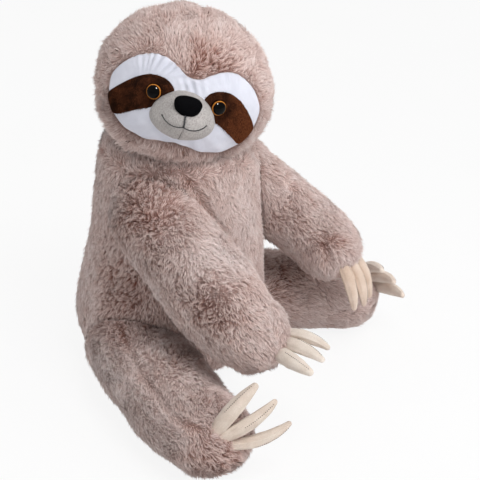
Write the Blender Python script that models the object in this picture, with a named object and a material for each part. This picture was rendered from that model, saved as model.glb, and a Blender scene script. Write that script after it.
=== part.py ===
"""Seated plush sloth, about 0.45 m tall, with sewn limbs that swing at their seams.

Metres, +Z up. The origin is the centre of the flat seat under the body, the body faces -Y,
and the sloth's right side is -X. The head is turned towards its right and tipped over.
"""
import math

import bmesh
import bpy
from mathutils import Matrix, Vector
from mathutils.bvhtree import BVHTree

# Clearances and small overruns
GAP = 0.0003
FLAT_CUT = 0.0005
CUT_OVERRUN = 0.012

# Body: a pear with a flat seat, a belly, round shoulders and a flat neck top
BELLY_RADIUS = 0.111
BELLY_HEIGHT = 0.075
SEAT_POWER = 2.6
SHOULDER_RADIUS = 0.097
SHOULDER_HEIGHT = 0.217
SHOULDER_LEAN = 0.010
NECK_RADIUS = 0.083
NECK_TOP = 0.300
BODY_SIDES = 32
BELLY_RINGS = 6
FLANK_RINGS = 6
DOME_RINGS = 4

# Head: an ovoid that sits on the neck top, seen from its own front
HEAD_HALF_WIDTH = 0.098
HEAD_HALF_DEPTH = 0.091
HEAD_HALF_HEIGHT = 0.087
HEAD_SIDE_OFFSET = 0.012
HEAD_FORWARD_OFFSET = 0.027
HEAD_HEIGHT = 0.367
HEAD_TURN = math.radians(-52)
HEAD_PITCH = math.radians(11)
HEAD_ROLL = math.radians(15)
HEAD_SIDES = 32
HEAD_RINGS = 18

# Face cloth: a white panel, and a brown patch laid over each side of it
PANEL_THICKNESS = 0.0020
PATCH_THICKNESS = 0.0013
FACE_HALF_WIDTH = 0.083
FACE_HALF_HEIGHT = 0.047
FACE_DROP = 0.013
FACE_BACK_SHARE = 0.25
PANEL_SHARES = (
    (0.000, 0.700), (0.108, 0.735), (0.217, 0.860), (0.373, 0.985), (0.554, 1.000),
    (0.747, 0.850), (0.904, 0.585), (1.000, 0.277), (1.006, 0.000), (0.970, -0.277),
    (0.867, -0.640), (0.747, -0.820), (0.602, -0.945), (0.410, -1.000), (0.217, -0.955),
    (0.000, -0.905),
)
PATCH_SHARES = (
    (0.193, 0.309), (0.241, 0.447), (0.337, 0.543), (0.482, 0.564), (0.602, 0.500),
    (0.735, 0.340), (0.855, 0.128), (0.960, -0.117), (0.975, -0.277), (0.920, -0.489),
    (0.845, -0.645), (0.711, -0.489), (0.578, -0.319), (0.434, -0.181), (0.170, 0.020),
)

# Muzzle and nose, stuffed, on the front of the panel
MUZZLE_HALF_WIDTH = 0.0355
MUZZLE_HALF_DEPTH = 0.0400
MUZZLE_HALF_HEIGHT = 0.0275
MUZZLE_FORWARD = 0.0840
MUZZLE_DROP = 0.0205
MUZZLE_SIDE_OFFSET = 0.0012
MUZZLE_CROWN_TAPER_SHARE = 0.14
MUZZLE_SIDES = 26
MUZZLE_RINGS = 14
NOSE_HALF_WIDTH = 0.0148
NOSE_HALF_DEPTH = 0.0085
NOSE_HALF_HEIGHT = 0.0108
NOSE_ABOVE_MUZZLE = 0.0148
NOSE_SET_BACK = 0.0045
NOSE_SIDE_OFFSET = 0.0020
NOSE_CHIN_TAPER_SHARE = 0.16
NOSE_POWER = 2.4
NOSE_SIDES = 18
NOSE_RINGS = 10
STITCH_RADIUS = 0.0007
THREAD_SIDES = 6
PHILTRUM_STEPS = 4
SMILE_HALF_WIDTH = 0.0245
SMILE_DROP_SHARES = ((-1.00, -0.04), (-0.78, -0.21), (-0.50, -0.32), (-0.22, -0.33),
                     (0.00, -0.28), (0.22, -0.33), (0.50, -0.32), (0.78, -0.21), (1.00, -0.04))
PHILTRUM_TOP_SHARE = 0.09

# Safety eyes: a dome on a shank, held inside the head by a washer
EYE_SPREAD = {"right": 0.0362, "left": 0.0322}
EYE_DROP = 0.0035
EYE_RADIUS = 0.0088
EYE_DOME_HEIGHT = 0.0062
SHANK_RADIUS = 0.0024
SHANK_LENGTH = 0.0170
WASHER_RADIUS = 0.0085
WASHER_THICKNESS = 0.0018
HEAD_WALL_AT_EYE = 0.0050
POCKET_MARGIN = 0.0020
POCKET_DEPTH = 0.0140
EYE_SIDES = 20
EYE_RINGS = 5

# Arms: from the shoulder pivots over the elbow to a round hand, right arm first
ARM_RADII = {"right": (0.0475, 0.0500, 0.0410), "left": (0.0440, 0.0400, 0.0380)}
ARM_ROOT_OUT = 0.080
ARM_ROOT_FORWARD = 0.031
ARM_ROOT_HEIGHT = 0.233
ELBOW_OUT = {"right": 0.030, "left": 0.034}
ELBOW_FORWARD = {"right": 0.100, "left": 0.080}
ELBOW_DROP = {"right": 0.058, "left": 0.061}
HAND_OUT = {"right": 0.026, "left": 0.034}
HAND_FORWARD = {"right": 0.152, "left": 0.124}
HAND_DROP = {"right": 0.096, "left": 0.0885}
ARM_SIDES = 22
ARM_RINGS = 8

# Legs: lying on the floor, splayed, right leg first
LEG_RADII = {"right": (0.0490, 0.0500, 0.0440), "left": (0.0470, 0.0470, 0.0435)}
LEG_BOW = {"right": 0.008, "left": 0.002}
LEG_WIDTH_SHARE = 1.14
FOOT_OUT = {"right": 0.185, "left": 0.191}
FOOT_FORWARD = {"right": 0.178, "left": 0.141}
LEG_LENGTH = 0.216
LEG_SPLAY = {"right": math.radians(30.6), "left": math.radians(32)}
LEG_SIDES = 22
LEG_RINGS = 8
CAP_RINGS = 4

# Hip pivots: upright lines inside the body near each hip seam
HIP_PIVOT_OUT = 0.060
HIP_PIVOT_FORWARD = 0.006

# Claws: three stuffed felt claws sewn in one row on each paw
CLAW_LENGTHS = {"hand": 0.060, "foot": 0.069}
CLAW_HALF_WIDTH = 0.0078
CLAW_HALF_THICKNESS = 0.0068
CLAW_TIP_SHARE = 0.45
CLAW_ROOT_SHARE = 0.74
CLAW_ROOT_DEPTH = 0.009
CLAW_CURL = math.radians(38)
CLAW_PITCH = 0.0154
CLAW_WIDEST_SHARE = 0.4
CLAW_CAP_TURNS = (math.radians(45), math.radians(72))
CLAW_SIDES = 9
CLAW_RINGS = 6
CLAW_NAMES = ("inner", "middle", "outer")

# Each paw's claw row: its seat, where the claws point, the row's own line, how far they fan and twist
PAWS = {
    "right_hand": {"seat_share": (0.375, -1.030, -0.264), "point_share": (-0.160, -0.985, 0.040),
                   "row_share": (-0.970, 0.150, -0.190), "fan": math.radians(9), "twist": math.radians(35)},
    "left_hand": {"seat_share": (0.050, -0.880, -0.500), "point_share": (0.060, -0.380, -0.923),
                  "row_share": (-0.995, -0.007, -0.102), "fan": math.radians(5), "twist": math.radians(12)},
    "right_foot": {"seat_share": (-0.265, -0.804, 0.532), "point_share": (0.649, -0.564, 0.511),
                   "row_share": (0.462, -0.242, -0.853), "fan": math.radians(20), "twist": math.radians(50)},
    "left_foot": {"seat_share": (0.154, -0.747, 0.647), "point_share": (-0.480, -0.800, 0.360),
                  "row_share": (-0.274, 0.527, 0.805), "fan": math.radians(7), "twist": math.radians(20)},
}

# How far the sewn joints give, from the pose that is modelled
ARM_LOWERS, ARM_LIFTS = math.radians(-4), math.radians(22)
LEG_CLOSES, LEG_OPENS = math.radians(-3), math.radians(12)
CLAWS_UNCURL, CLAWS_CURL = math.radians(-18), math.radians(22)

SIDES = {"right": -1, "left": 1}
SWING_STEPS = 4

MATERIALS = {
    "plush": ((0.51, 0.39, 0.35), 0.95),
    "white_cloth": ((0.78, 0.79, 0.88), 0.85),
    "brown_cloth": ((0.070, 0.024, 0.012), 0.95),
    "suede": ((0.42, 0.39, 0.37), 0.80),
    "black_velour": ((0.006, 0.006, 0.007), 0.60),
    "thread": ((0.02, 0.02, 0.02), 0.70),
    "eye_plastic": ((0.010, 0.006, 0.004), 0.10),
    "washer_plastic": ((0.80, 0.80, 0.78), 0.40),
    "felt": ((0.78, 0.63, 0.48), 0.90),
}


def clear_scene():
    for item in list(bpy.data.objects):
        bpy.data.objects.remove(item, do_unlink=True)


def material(name):
    """The named finish, made on first use."""
    found = bpy.data.materials.get(name)
    if found:
        return found
    colour, roughness = MATERIALS[name]
    made = bpy.data.materials.new(name)
    made.use_nodes = True
    made.diffuse_color = (*colour, 1)
    shader = made.node_tree.nodes["Principled BSDF"]
    shader.inputs["Base Color"].default_value = (*colour, 1)
    shader.inputs["Roughness"].default_value = roughness
    shader.inputs["Metallic"].default_value = 0
    return made


def empty(name, place, parent=None):
    """A pivot that a moving piece hangs on. place is in the world."""
    pivot = bpy.data.objects.new(name, None)
    bpy.context.collection.objects.link(pivot)
    pivot.parent = parent
    pivot.matrix_world = place
    bpy.context.view_layer.update()
    return pivot


def solid(name, mesh_code, finish, place=None, parent=None):
    """An object of one mesh. Its points are in the frame that place gives."""
    bmesh.ops.recalc_face_normals(mesh_code, faces=mesh_code.faces)
    mesh = bpy.data.meshes.new(name)
    mesh_code.to_mesh(mesh)
    mesh_code.free()
    item = bpy.data.objects.new(name, mesh)
    bpy.context.collection.objects.link(item)
    if finish:
        mesh.materials.append(material(finish))
    item.parent = parent
    item.matrix_world = place or Matrix.Identity(4)
    bpy.context.view_layer.update()
    return item


def carve(item, operation, tool_code, place=None):
    """Boolean an object with a throwaway tool mesh, and keep the plain result."""
    tool = solid("tool", tool_code, None, place)
    step = item.modifiers.new("carve", "BOOLEAN")
    step.operation = operation
    step.object = tool
    step.solver = "EXACT"
    bpy.context.view_layer.update()
    seen = item.evaluated_get(bpy.context.evaluated_depsgraph_get())
    result = bpy.data.meshes.new_from_object(seen)
    item.modifiers.remove(step)
    old = item.data
    item.data = result
    bpy.data.meshes.remove(old)
    bpy.data.objects.remove(tool, do_unlink=True)


def smooth(item, crease=math.radians(40)):
    item.data.shade_smooth()
    item.data.set_sharp_from_angle(angle=crease)


def ease(share):
    """A smooth step from 0 to 1."""
    return share * share * (3 - 2 * share)


def blend(start, end, share):
    return start + (end - start) * share


def skin(rings, close_start=True, close_end=True):
    """A closed skin over rings of points with the same count."""
    code = bmesh.new()
    rows = [[code.verts.new(point) for point in ring] for ring in rings]
    for row, following in zip(rows, rows[1:]):
        for index, vert in enumerate(row):
            after = (index + 1) % len(row)
            code.faces.new((vert, row[after], following[after], following[index]))
    if close_start:
        code.faces.new(rows[0])
    if close_end:
        code.faces.new(rows[-1])
    return code


def circle(centre, across, over, radius_across, radius_over, sides):
    """Points of an oval round a centre, in the plane of two unit directions."""
    points = []
    for index in range(sides):
        angle = 2 * math.pi * index / sides
        points.append(centre + across * (radius_across * math.cos(angle))
                      + over * (radius_over * math.sin(angle)))
    return points


def ovoid(half_width, half_depth, half_height, sides, rings):
    """An ovoid whose poles are at its front and back."""
    code = bmesh.new()
    bmesh.ops.create_uvsphere(code, u_segments=sides, v_segments=rings, radius=1)
    turn = Matrix.Rotation(math.radians(90), 4, "X")
    grow = Matrix.Diagonal((half_width, half_depth, half_height, 1))
    bmesh.ops.transform(code, matrix=grow @ turn, verts=code.verts)
    return code


def cylinder(radius, length, sides):
    """A cylinder along -Z, with its top face at the origin."""
    code = bmesh.new()
    bmesh.ops.create_cone(code, cap_ends=True, segments=sides, radius1=radius, radius2=radius, depth=length)
    bmesh.ops.translate(code, vec=Vector((0, 0, -length / 2)), verts=code.verts)
    return code


def prism(outline, front, back):
    """An outline in X and Z, run along Y."""
    return skin([[Vector((x, y, z)) for x, z in outline] for y in (front, back)])


def smooth_outline(points, steps):
    """A closed curve through points, with steps pieces between each two."""
    outline = []
    count = len(points)
    for index in range(count):
        before, start, end, after = (Vector(points[(index + shift) % count]) for shift in (-1, 0, 1, 2))
        for step in range(steps):
            share = step / steps
            outline.append(0.5 * (2 * start + (end - before) * share
                                  + (2 * before - 5 * start + 4 * end - after) * share ** 2
                                  + (3 * start - before - 3 * end + after) * share ** 3))
    return [tuple(point) for point in outline]


def turned_about(pivot, axis, angle):
    return Matrix.Translation(pivot) @ Matrix.Rotation(angle, 4, axis) @ Matrix.Translation(-pivot)


def swing_room(code, pivot, axis, angles):
    """The convex room that a form takes up, as seen by a piece that swings past it."""
    room = bmesh.new()
    for angle in angles:
        turn = turned_about(pivot, axis, -angle)
        for vert in code.verts:
            room.verts.new(turn @ vert.co)
    code.free()
    bmesh.ops.convex_hull(room, input=room.verts)
    loose = [vert for vert in room.verts if not vert.link_faces]
    bmesh.ops.delete(room, geom=loose, context="VERTS")
    return room


def angles_between(low, high):
    """The two limits of a swing and the angles between them."""
    return [blend(low, high, step / SWING_STEPS) for step in range(SWING_STEPS + 1)]


def body_radius(height):
    if height <= BELLY_HEIGHT:
        share = (BELLY_HEIGHT - height) / (BELLY_HEIGHT + FLAT_CUT)
        return BELLY_RADIUS * (1 - share ** SEAT_POWER) ** (1 / SEAT_POWER)
    if height <= SHOULDER_HEIGHT:
        share = (height - BELLY_HEIGHT) / (SHOULDER_HEIGHT - BELLY_HEIGHT)
        return blend(BELLY_RADIUS, SHOULDER_RADIUS, ease(share))
    share = (height - SHOULDER_HEIGHT) / (NECK_TOP - SHOULDER_HEIGHT)
    return blend(SHOULDER_RADIUS, NECK_RADIUS, share ** 2)


def body_centre(height):
    """The body leans forward between its belly and its shoulders."""
    share = min(max((height - BELLY_HEIGHT) / (SHOULDER_HEIGHT - BELLY_HEIGHT), 0), 1)
    return Vector((0, -SHOULDER_LEAN * ease(share), height))


def body_form(clearance=0):
    """The stuffed body, or with a clearance the room that it needs."""
    heights = []
    for step in range(BELLY_RINGS):
        heights.append(BELLY_HEIGHT * (1 - math.cos(math.pi / 2 * step / BELLY_RINGS)))
    for step in range(FLANK_RINGS):
        heights.append(blend(BELLY_HEIGHT, SHOULDER_HEIGHT, step / FLANK_RINGS))
    for step in range(DOME_RINGS + 1):
        heights.append(blend(SHOULDER_HEIGHT, NECK_TOP, step / DOME_RINGS))
    corner = 1 if clearance == 0 else 1 / math.cos(math.pi / BODY_SIDES)
    rings = []
    for height in heights:
        radius = (body_radius(height) + clearance) * corner
        rings.append(circle(body_centre(height), Vector((1, 0, 0)), Vector((0, 1, 0)), radius, radius, BODY_SIDES))
    if clearance:
        rings[0] = [point - Vector((0, 0, clearance)) for point in rings[0]]
        rings[-1] = [point + Vector((0, 0, clearance)) for point in rings[-1]]
    return skin(rings)


def head_form(clearance=0):
    return ovoid(HEAD_HALF_WIDTH + clearance, HEAD_HALF_DEPTH + clearance, HEAD_HALF_HEIGHT + clearance,
                 HEAD_SIDES, HEAD_RINGS)


def head_frame():
    """The head's own frame: its front is -Y and its crown +Z."""
    place = Matrix.Translation((-HEAD_SIDE_OFFSET, -HEAD_FORWARD_OFFSET, HEAD_HEIGHT))
    turn = Matrix.Rotation(HEAD_TURN, 4, "Z")
    pitch = Matrix.Rotation(-HEAD_PITCH, 4, "X")
    roll = Matrix.Rotation(HEAD_ROLL, 4, "Y")
    return place @ turn @ pitch @ roll


def curve_point(route, share):
    """A point of the smooth bend through a start, a middle and an end."""
    start, middle, end = route
    hold = 2 * middle - (start + end) / 2
    return start * (1 - share) ** 2 + hold * (2 * share * (1 - share)) + end * share ** 2


def limb_form(route, radii, sides, rings, clearance=0, lying=False, width_share=1):
    """A stuffed limb that swells along a bent route and has round ends.

    A lying limb rests on the floor, so its middle line follows its thickness.
    """
    start_radius, middle_radius, end_radius = radii
    start, middle, end = route
    length = (middle - start).length + (end - middle).length
    start_share, end_share = (start_radius + clearance) / length, (end_radius + clearance) / length

    def radius_at(share):
        share = min(max(share, 0), 1)
        if share < 0.5:
            return blend(start_radius, middle_radius, ease(2 * share))
        return blend(middle_radius, end_radius, ease(2 * share - 1))

    stations = []
    for step in range(1, CAP_RINGS + 1):
        angle = math.pi / 2 * step / CAP_RINGS
        stations.append((-start_share * math.cos(angle), math.sin(angle)))
    for step in range(1, rings):
        stations.append((step / rings, 1))
    for step in range(CAP_RINGS):
        angle = math.pi / 2 * step / CAP_RINGS
        stations.append((1 + end_share * math.sin(angle), math.cos(angle)))
    circles = []
    small = 1 / sides
    for share, fullness in stations:
        inner = min(max(share, 0), 1)
        ahead = (curve_point(route, min(inner + small, 1)) - curve_point(route, max(inner - small, 0))).normalized()
        centre = curve_point(route, inner) + ahead * ((share - inner) * length)
        radius = radius_at(share)
        if lying:
            centre.z = radius - FLAT_CUT
        across = ahead.cross(Vector((0, 0, 1))).normalized()
        wide, tall = (radius * width_share + clearance) * fullness, (radius + clearance) * fullness
        circles.append(circle(centre, across, across.cross(ahead), wide, tall, sides))
    return skin(circles)


def cut_flat(item):
    """Cut a lying form flat at the floor."""
    code = bmesh.new()
    code.from_mesh(item.data)
    code.transform(item.matrix_world)
    geometry = code.verts[:] + code.edges[:] + code.faces[:]
    cut = bmesh.ops.bisect_plane(code, geom=geometry, plane_co=(0, 0, 0), plane_no=(0, 0, -1), clear_outer=True)
    edges = [part for part in cut["geom_cut"] if isinstance(part, bmesh.types.BMEdge)]
    bmesh.ops.contextual_create(code, geom=edges)
    code.transform(item.matrix_world.inverted())
    code.to_mesh(item.data)
    code.free()


def shoulder_pivot():
    return Vector((0, -ARM_ROOT_FORWARD, ARM_ROOT_HEIGHT))


def arm_route(side):
    sign = SIDES[side]
    shoulder = shoulder_pivot() + Vector((sign * ARM_ROOT_OUT, 0, 0))
    elbow = shoulder + Vector((sign * ELBOW_OUT[side], -ELBOW_FORWARD[side], -ELBOW_DROP[side]))
    hand = shoulder + Vector((sign * HAND_OUT[side], -HAND_FORWARD[side], -HAND_DROP[side]))
    return shoulder, elbow, hand


def leg_route(side):
    sign = SIDES[side]
    foot = Vector((sign * FOOT_OUT[side], -FOOT_FORWARD[side], LEG_RADII[side][2]))
    along = Vector((sign * math.sin(LEG_SPLAY[side]), -math.cos(LEG_SPLAY[side]), 0))
    outward = Vector((-along.y * sign, along.x * sign, 0))
    knee = foot - along * (LEG_LENGTH / 2) + outward * LEG_BOW[side]
    return foot - along * LEG_LENGTH, knee, foot


def hip_pivot(side):
    return Vector((SIDES[side] * HIP_PIVOT_OUT, -HIP_PIVOT_FORWARD, 0))


def arm_form(side, clearance=0):
    return limb_form(arm_route(side), ARM_RADII[side], ARM_SIDES, ARM_RINGS, clearance)


def leg_form(side, clearance=0):
    return limb_form(leg_route(side), LEG_RADII[side], LEG_SIDES, LEG_RINGS, clearance, lying=True,
                     width_share=LEG_WIDTH_SHARE)


def make_body():
    body = solid("body", body_form(), "plush")
    smooth(body)
    return body


def make_arm(side):
    """An arm on its shoulder pivot, hollowed where the body is in its way."""
    pivot = shoulder_pivot()
    hanger = empty(f"{side}_shoulder", Matrix.Translation(pivot))
    code = arm_form(side)
    bmesh.ops.translate(code, vec=-pivot, verts=code.verts)
    arm = solid(f"{side}_arm", code, "plush", Matrix.Translation(pivot), hanger)
    lift = Vector((-1, 0, 0))
    for angle in angles_between(ARM_LOWERS, ARM_LIFTS):
        carve(arm, "DIFFERENCE", body_form(GAP), turned_about(pivot, lift, -angle))
    smooth(arm)
    return arm


def make_leg(side):
    """A leg on its upright hip pivot, hollowed where the body is in its way and flat underneath."""
    pivot = hip_pivot(side)
    hanger = empty(f"{side}_hip", Matrix.Translation(pivot))
    code = leg_form(side)
    bmesh.ops.translate(code, vec=-pivot, verts=code.verts)
    leg = solid(f"{side}_leg", code, "plush", Matrix.Translation(pivot), hanger)
    cut_flat(leg)
    outward = Vector((0, 0, SIDES[side]))
    room = swing_room(body_form(GAP), pivot, outward, angles_between(LEG_CLOSES, LEG_OPENS))
    carve(leg, "DIFFERENCE", room)
    smooth(leg)
    return leg


def face_point(shares, sign):
    return (sign * shares[0] * FACE_HALF_WIDTH, shares[1] * FACE_HALF_HEIGHT - FACE_DROP)


def face_layer(name, outline, inner, outer, finish, place, parent):
    """A piece of cloth that follows the head between two heights over it."""
    layer = solid(name, head_form(outer), finish, place, parent)
    front = -HEAD_HALF_DEPTH - CUT_OVERRUN
    carve(layer, "INTERSECT", prism(outline, front, -HEAD_HALF_DEPTH * FACE_BACK_SHARE), place)
    carve(layer, "DIFFERENCE", head_form(inner), place)
    return layer


def eye_frame(side, height):
    """A frame on the face, height above the head's form, with +Z out along the shank."""
    half = (HEAD_HALF_WIDTH, HEAD_HALF_DEPTH, HEAD_HALF_HEIGHT)
    x, z = SIDES[side] * EYE_SPREAD[side], -EYE_DROP
    y = -half[1] * math.sqrt(1 - (x / half[0]) ** 2 - (z / half[2]) ** 2)
    outward = Vector((x / half[0] ** 2, y / half[1] ** 2, z / half[2] ** 2)).normalized()
    turn = outward.to_track_quat("Z", "Y").to_matrix().to_4x4()
    return Matrix.Translation(Vector((x, y, z)) + outward * height) @ turn


def make_eye(side, place, parent, base):
    """A domed plastic eye with its shank, as one turned solid."""
    rings = []
    for step in range(EYE_RINGS):
        angle = math.pi / 2 * step / EYE_RINGS
        height, radius = EYE_DOME_HEIGHT * math.sin(angle), EYE_RADIUS * math.cos(angle)
        rings.append(circle(Vector((0, 0, height)), Vector((1, 0, 0)), Vector((0, 1, 0)), radius, radius, EYE_SIDES))
    rings.reverse()
    for height in (0, -SHANK_LENGTH):
        rings.append(circle(Vector((0, 0, height)), Vector((1, 0, 0)), Vector((0, 1, 0)),
                            SHANK_RADIUS, SHANK_RADIUS, EYE_SIDES))
    frame = place @ eye_frame(side, base)
    eye = solid(f"{side}_eye", skin(rings), "eye_plastic", frame, parent)
    smooth(eye)
    washer_code = cylinder(WASHER_RADIUS, WASHER_THICKNESS, EYE_SIDES)
    washer_place = place @ eye_frame(side, -HEAD_WALL_AT_EYE - GAP)
    washer = solid(f"{side}_eye_washer", washer_code, "washer_plastic", washer_place, parent)
    hole = cylinder(SHANK_RADIUS + GAP, WASHER_THICKNESS + 2 * CUT_OVERRUN, EYE_SIDES)
    bmesh.ops.translate(hole, vec=Vector((0, 0, CUT_OVERRUN)), verts=hole.verts)
    carve(washer, "DIFFERENCE", hole, washer_place)
    smooth(washer)


def bore_for_shank(item, side, place):
    reach = HEAD_WALL_AT_EYE + POCKET_DEPTH / 2 + 2 * CUT_OVERRUN
    hole = cylinder(SHANK_RADIUS + GAP, reach, EYE_SIDES)
    carve(item, "DIFFERENCE", hole, place @ eye_frame(side, 2 * CUT_OVERRUN))


def make_way_for_eye(muzzle, side, place):
    room = cylinder(EYE_RADIUS + GAP, 2 * EYE_DOME_HEIGHT + CUT_OVERRUN, EYE_SIDES)
    carve(muzzle, "DIFFERENCE", room, place @ eye_frame(side, 2 * EYE_DOME_HEIGHT))


def hollow_for_washer(head, side, place):
    pocket = cylinder(WASHER_RADIUS + POCKET_MARGIN, POCKET_DEPTH, EYE_SIDES)
    carve(head, "DIFFERENCE", pocket, place @ eye_frame(side, -HEAD_WALL_AT_EYE))


def muzzle_centre():
    return Vector((-MUZZLE_SIDE_OFFSET, -MUZZLE_FORWARD, -MUZZLE_DROP))


def muzzle_form(clearance=0):
    """The muzzle is narrower at its top than at the chin."""
    code = ovoid(MUZZLE_HALF_WIDTH + clearance, MUZZLE_HALF_DEPTH + clearance, MUZZLE_HALF_HEIGHT + clearance,
                 MUZZLE_SIDES, MUZZLE_RINGS)
    for vert in code.verts:
        vert.co.x *= 1 - MUZZLE_CROWN_TAPER_SHARE * vert.co.z / MUZZLE_HALF_HEIGHT
    bmesh.ops.translate(code, vec=muzzle_centre(), verts=code.verts)
    return code


def muzzle_point(x_share, z_share, height):
    """A point over the muzzle's front, from shares of its half width and half height."""
    y_share = -math.sqrt(1 - x_share ** 2 - z_share ** 2)
    surface = Vector((x_share * MUZZLE_HALF_WIDTH, y_share * MUZZLE_HALF_DEPTH, z_share * MUZZLE_HALF_HEIGHT))
    outward = Vector((x_share / MUZZLE_HALF_WIDTH, y_share / MUZZLE_HALF_DEPTH,
                      z_share / MUZZLE_HALF_HEIGHT)).normalized()
    surface.x *= 1 - MUZZLE_CROWN_TAPER_SHARE * z_share
    return surface + outward * height + muzzle_centre()


def nose_form():
    """A rounded block, wider at its top than at its foot."""
    code = ovoid(1, 1, 1, NOSE_SIDES, NOSE_RINGS)
    for vert in code.verts:
        x, y, z = vert.co
        reach = (abs(x) ** NOSE_POWER + abs(y) ** NOSE_POWER + abs(z) ** NOSE_POWER) ** (1 / NOSE_POWER)
        taper = 1 + NOSE_CHIN_TAPER_SHARE * z
        vert.co = Vector((x * taper * NOSE_HALF_WIDTH, y * NOSE_HALF_DEPTH, z * NOSE_HALF_HEIGHT)) / reach
    forward = MUZZLE_FORWARD + MUZZLE_HALF_DEPTH - NOSE_SET_BACK
    place = Vector((-NOSE_SIDE_OFFSET, -forward, NOSE_ABOVE_MUZZLE - MUZZLE_DROP))
    bmesh.ops.translate(code, vec=place, verts=code.verts)
    return code


def thread(points):
    """A closed tube of stitching thread through points."""
    rings = []
    for index, point in enumerate(points):
        ahead = (points[min(index + 1, len(points) - 1)] - points[max(index - 1, 0)]).normalized()
        across = ahead.cross(Vector((0, 1, 0))).normalized()
        rings.append(circle(point, across, across.cross(ahead), STITCH_RADIUS, STITCH_RADIUS, THREAD_SIDES))
    return skin(rings)


def make_mouth(place, parent):
    """A smile and the upright line above it, stitched as one thread piece on the muzzle."""
    height = STITCH_RADIUS + GAP + STITCH_RADIUS / 2
    smile_share = SMILE_HALF_WIDTH / MUZZLE_HALF_WIDTH
    smile = [muzzle_point(x * smile_share, z, height) for x, z in SMILE_DROP_SHARES]
    lowest = SMILE_DROP_SHARES[len(SMILE_DROP_SHARES) // 2][1]
    philtrum = [muzzle_point(0, blend(PHILTRUM_TOP_SHARE, lowest, step / PHILTRUM_STEPS), height)
                for step in range(PHILTRUM_STEPS + 1)]
    mouth = solid("mouth_stitching", thread(smile), "thread", place, parent)
    carve(mouth, "UNION", thread(philtrum), place)
    smooth(mouth)


def make_head():
    """The head, its face cloth, muzzle, nose, stitching and eyes, on the neck's pivot."""
    place = head_frame()
    neck = body_centre(NECK_TOP)
    pivot = empty("neck", Matrix.Translation(neck))
    head = solid("head", head_form(), "plush", place, pivot)
    carve(head, "DIFFERENCE", body_form(GAP))

    panel_half = [face_point(shares, 1) for shares in PANEL_SHARES]
    other_half = [face_point(shares, -1) for shares in PANEL_SHARES[1:-1]]
    panel_outline = smooth_outline(panel_half + other_half[::-1], 2)
    panel_top = GAP + PANEL_THICKNESS
    panel = face_layer("face_panel", panel_outline, GAP, panel_top, "white_cloth", place, pivot)
    patch_top = panel_top + GAP + PATCH_THICKNESS
    muzzle = solid("muzzle", muzzle_form(), "suede", place, pivot)
    carve(muzzle, "DIFFERENCE", head_form(panel_top + GAP), place)

    for side, sign in SIDES.items():
        outline = smooth_outline([face_point(shares, sign) for shares in PATCH_SHARES], 2)
        patch = face_layer(f"{side}_eye_patch", outline, panel_top + GAP, patch_top, "brown_cloth", place, pivot)
        carve(patch, "DIFFERENCE", muzzle_form(GAP), place)
        for item in (head, panel, patch):
            bore_for_shank(item, side, place)
        hollow_for_washer(head, side, place)
        make_way_for_eye(muzzle, side, place)
        smooth(patch)
        make_eye(side, place, pivot, patch_top + GAP)

    nose = solid("nose", nose_form(), "black_velour", place, pivot)
    carve(nose, "DIFFERENCE", muzzle_form(GAP), place)
    for item in (head, panel, muzzle, nose):
        smooth(item)
    make_mouth(place, pivot)


def paw_form(paw, clearance=0):
    side, kind = paw.split("_")
    return arm_form(side, clearance) if kind == "hand" else leg_form(side, clearance)


def paw_centre(paw):
    side, kind = paw.split("_")
    route = arm_route(side) if kind == "hand" else leg_route(side)
    return route[2]


def on_paw(paw, place):
    """The point of the paw's surface between its centre and a place outside it."""
    centre = paw_centre(paw)
    code = paw_form(paw)
    tree = BVHTree.FromBMesh(code)
    code.free()
    outward = (place - centre).normalized()
    return tree.ray_cast(centre + outward * LEG_LENGTH, -outward)[0]


def claw_row(paw):
    """The middle of a claw row on the paw's surface, with its row, pointing and upper directions."""
    data = PAWS[paw]
    seat = on_paw(paw, paw_centre(paw) + Vector(data["seat_share"]))
    point = Vector(data["point_share"]).normalized()
    row = Vector(data["row_share"])
    row = (row - point * row.dot(point)).normalized()
    place = Matrix((row, point, row.cross(point))).transposed().to_4x4()
    place.translation = seat
    return place


def claw_form(length):
    """A claw along +Y that curls towards -Z, with its root behind the origin."""
    stations = []
    turn_radius = length / CLAW_CURL
    for step in range(CLAW_RINGS + 1):
        share = step / CLAW_RINGS
        angle = CLAW_CURL * (share - 0.5)
        centre = Vector((0, turn_radius * (math.sin(angle) + math.sin(CLAW_CURL / 2)) - CLAW_ROOT_DEPTH,
                         turn_radius * (math.cos(angle) - math.cos(CLAW_CURL / 2))))
        ahead = Vector((0, math.cos(angle), -math.sin(angle)))
        if share < CLAW_WIDEST_SHARE:
            size = blend(CLAW_ROOT_SHARE, 1, ease(share / CLAW_WIDEST_SHARE))
        else:
            size = blend(1, CLAW_TIP_SHARE, ((share - CLAW_WIDEST_SHARE) / (1 - CLAW_WIDEST_SHARE)) ** 2)
        stations.append((centre, ahead, size))
    rings = []
    for centre, ahead, size in stations:
        across = Vector((1, 0, 0))
        over = across.cross(ahead)
        rings.append(circle(centre, across, over, CLAW_HALF_WIDTH * size, CLAW_HALF_THICKNESS * size, CLAW_SIDES))
    centre, ahead, size = stations[-1]
    for angle in CLAW_CAP_TURNS:
        reach = CLAW_HALF_THICKNESS * CLAW_TIP_SHARE * math.sin(angle)
        shrink = size * math.cos(angle)
        rings.append(circle(centre + ahead * reach, Vector((1, 0, 0)), Vector((1, 0, 0)).cross(ahead),
                            CLAW_HALF_WIDTH * shrink, CLAW_HALF_THICKNESS * shrink, CLAW_SIDES))
    return skin(rings)


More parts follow.
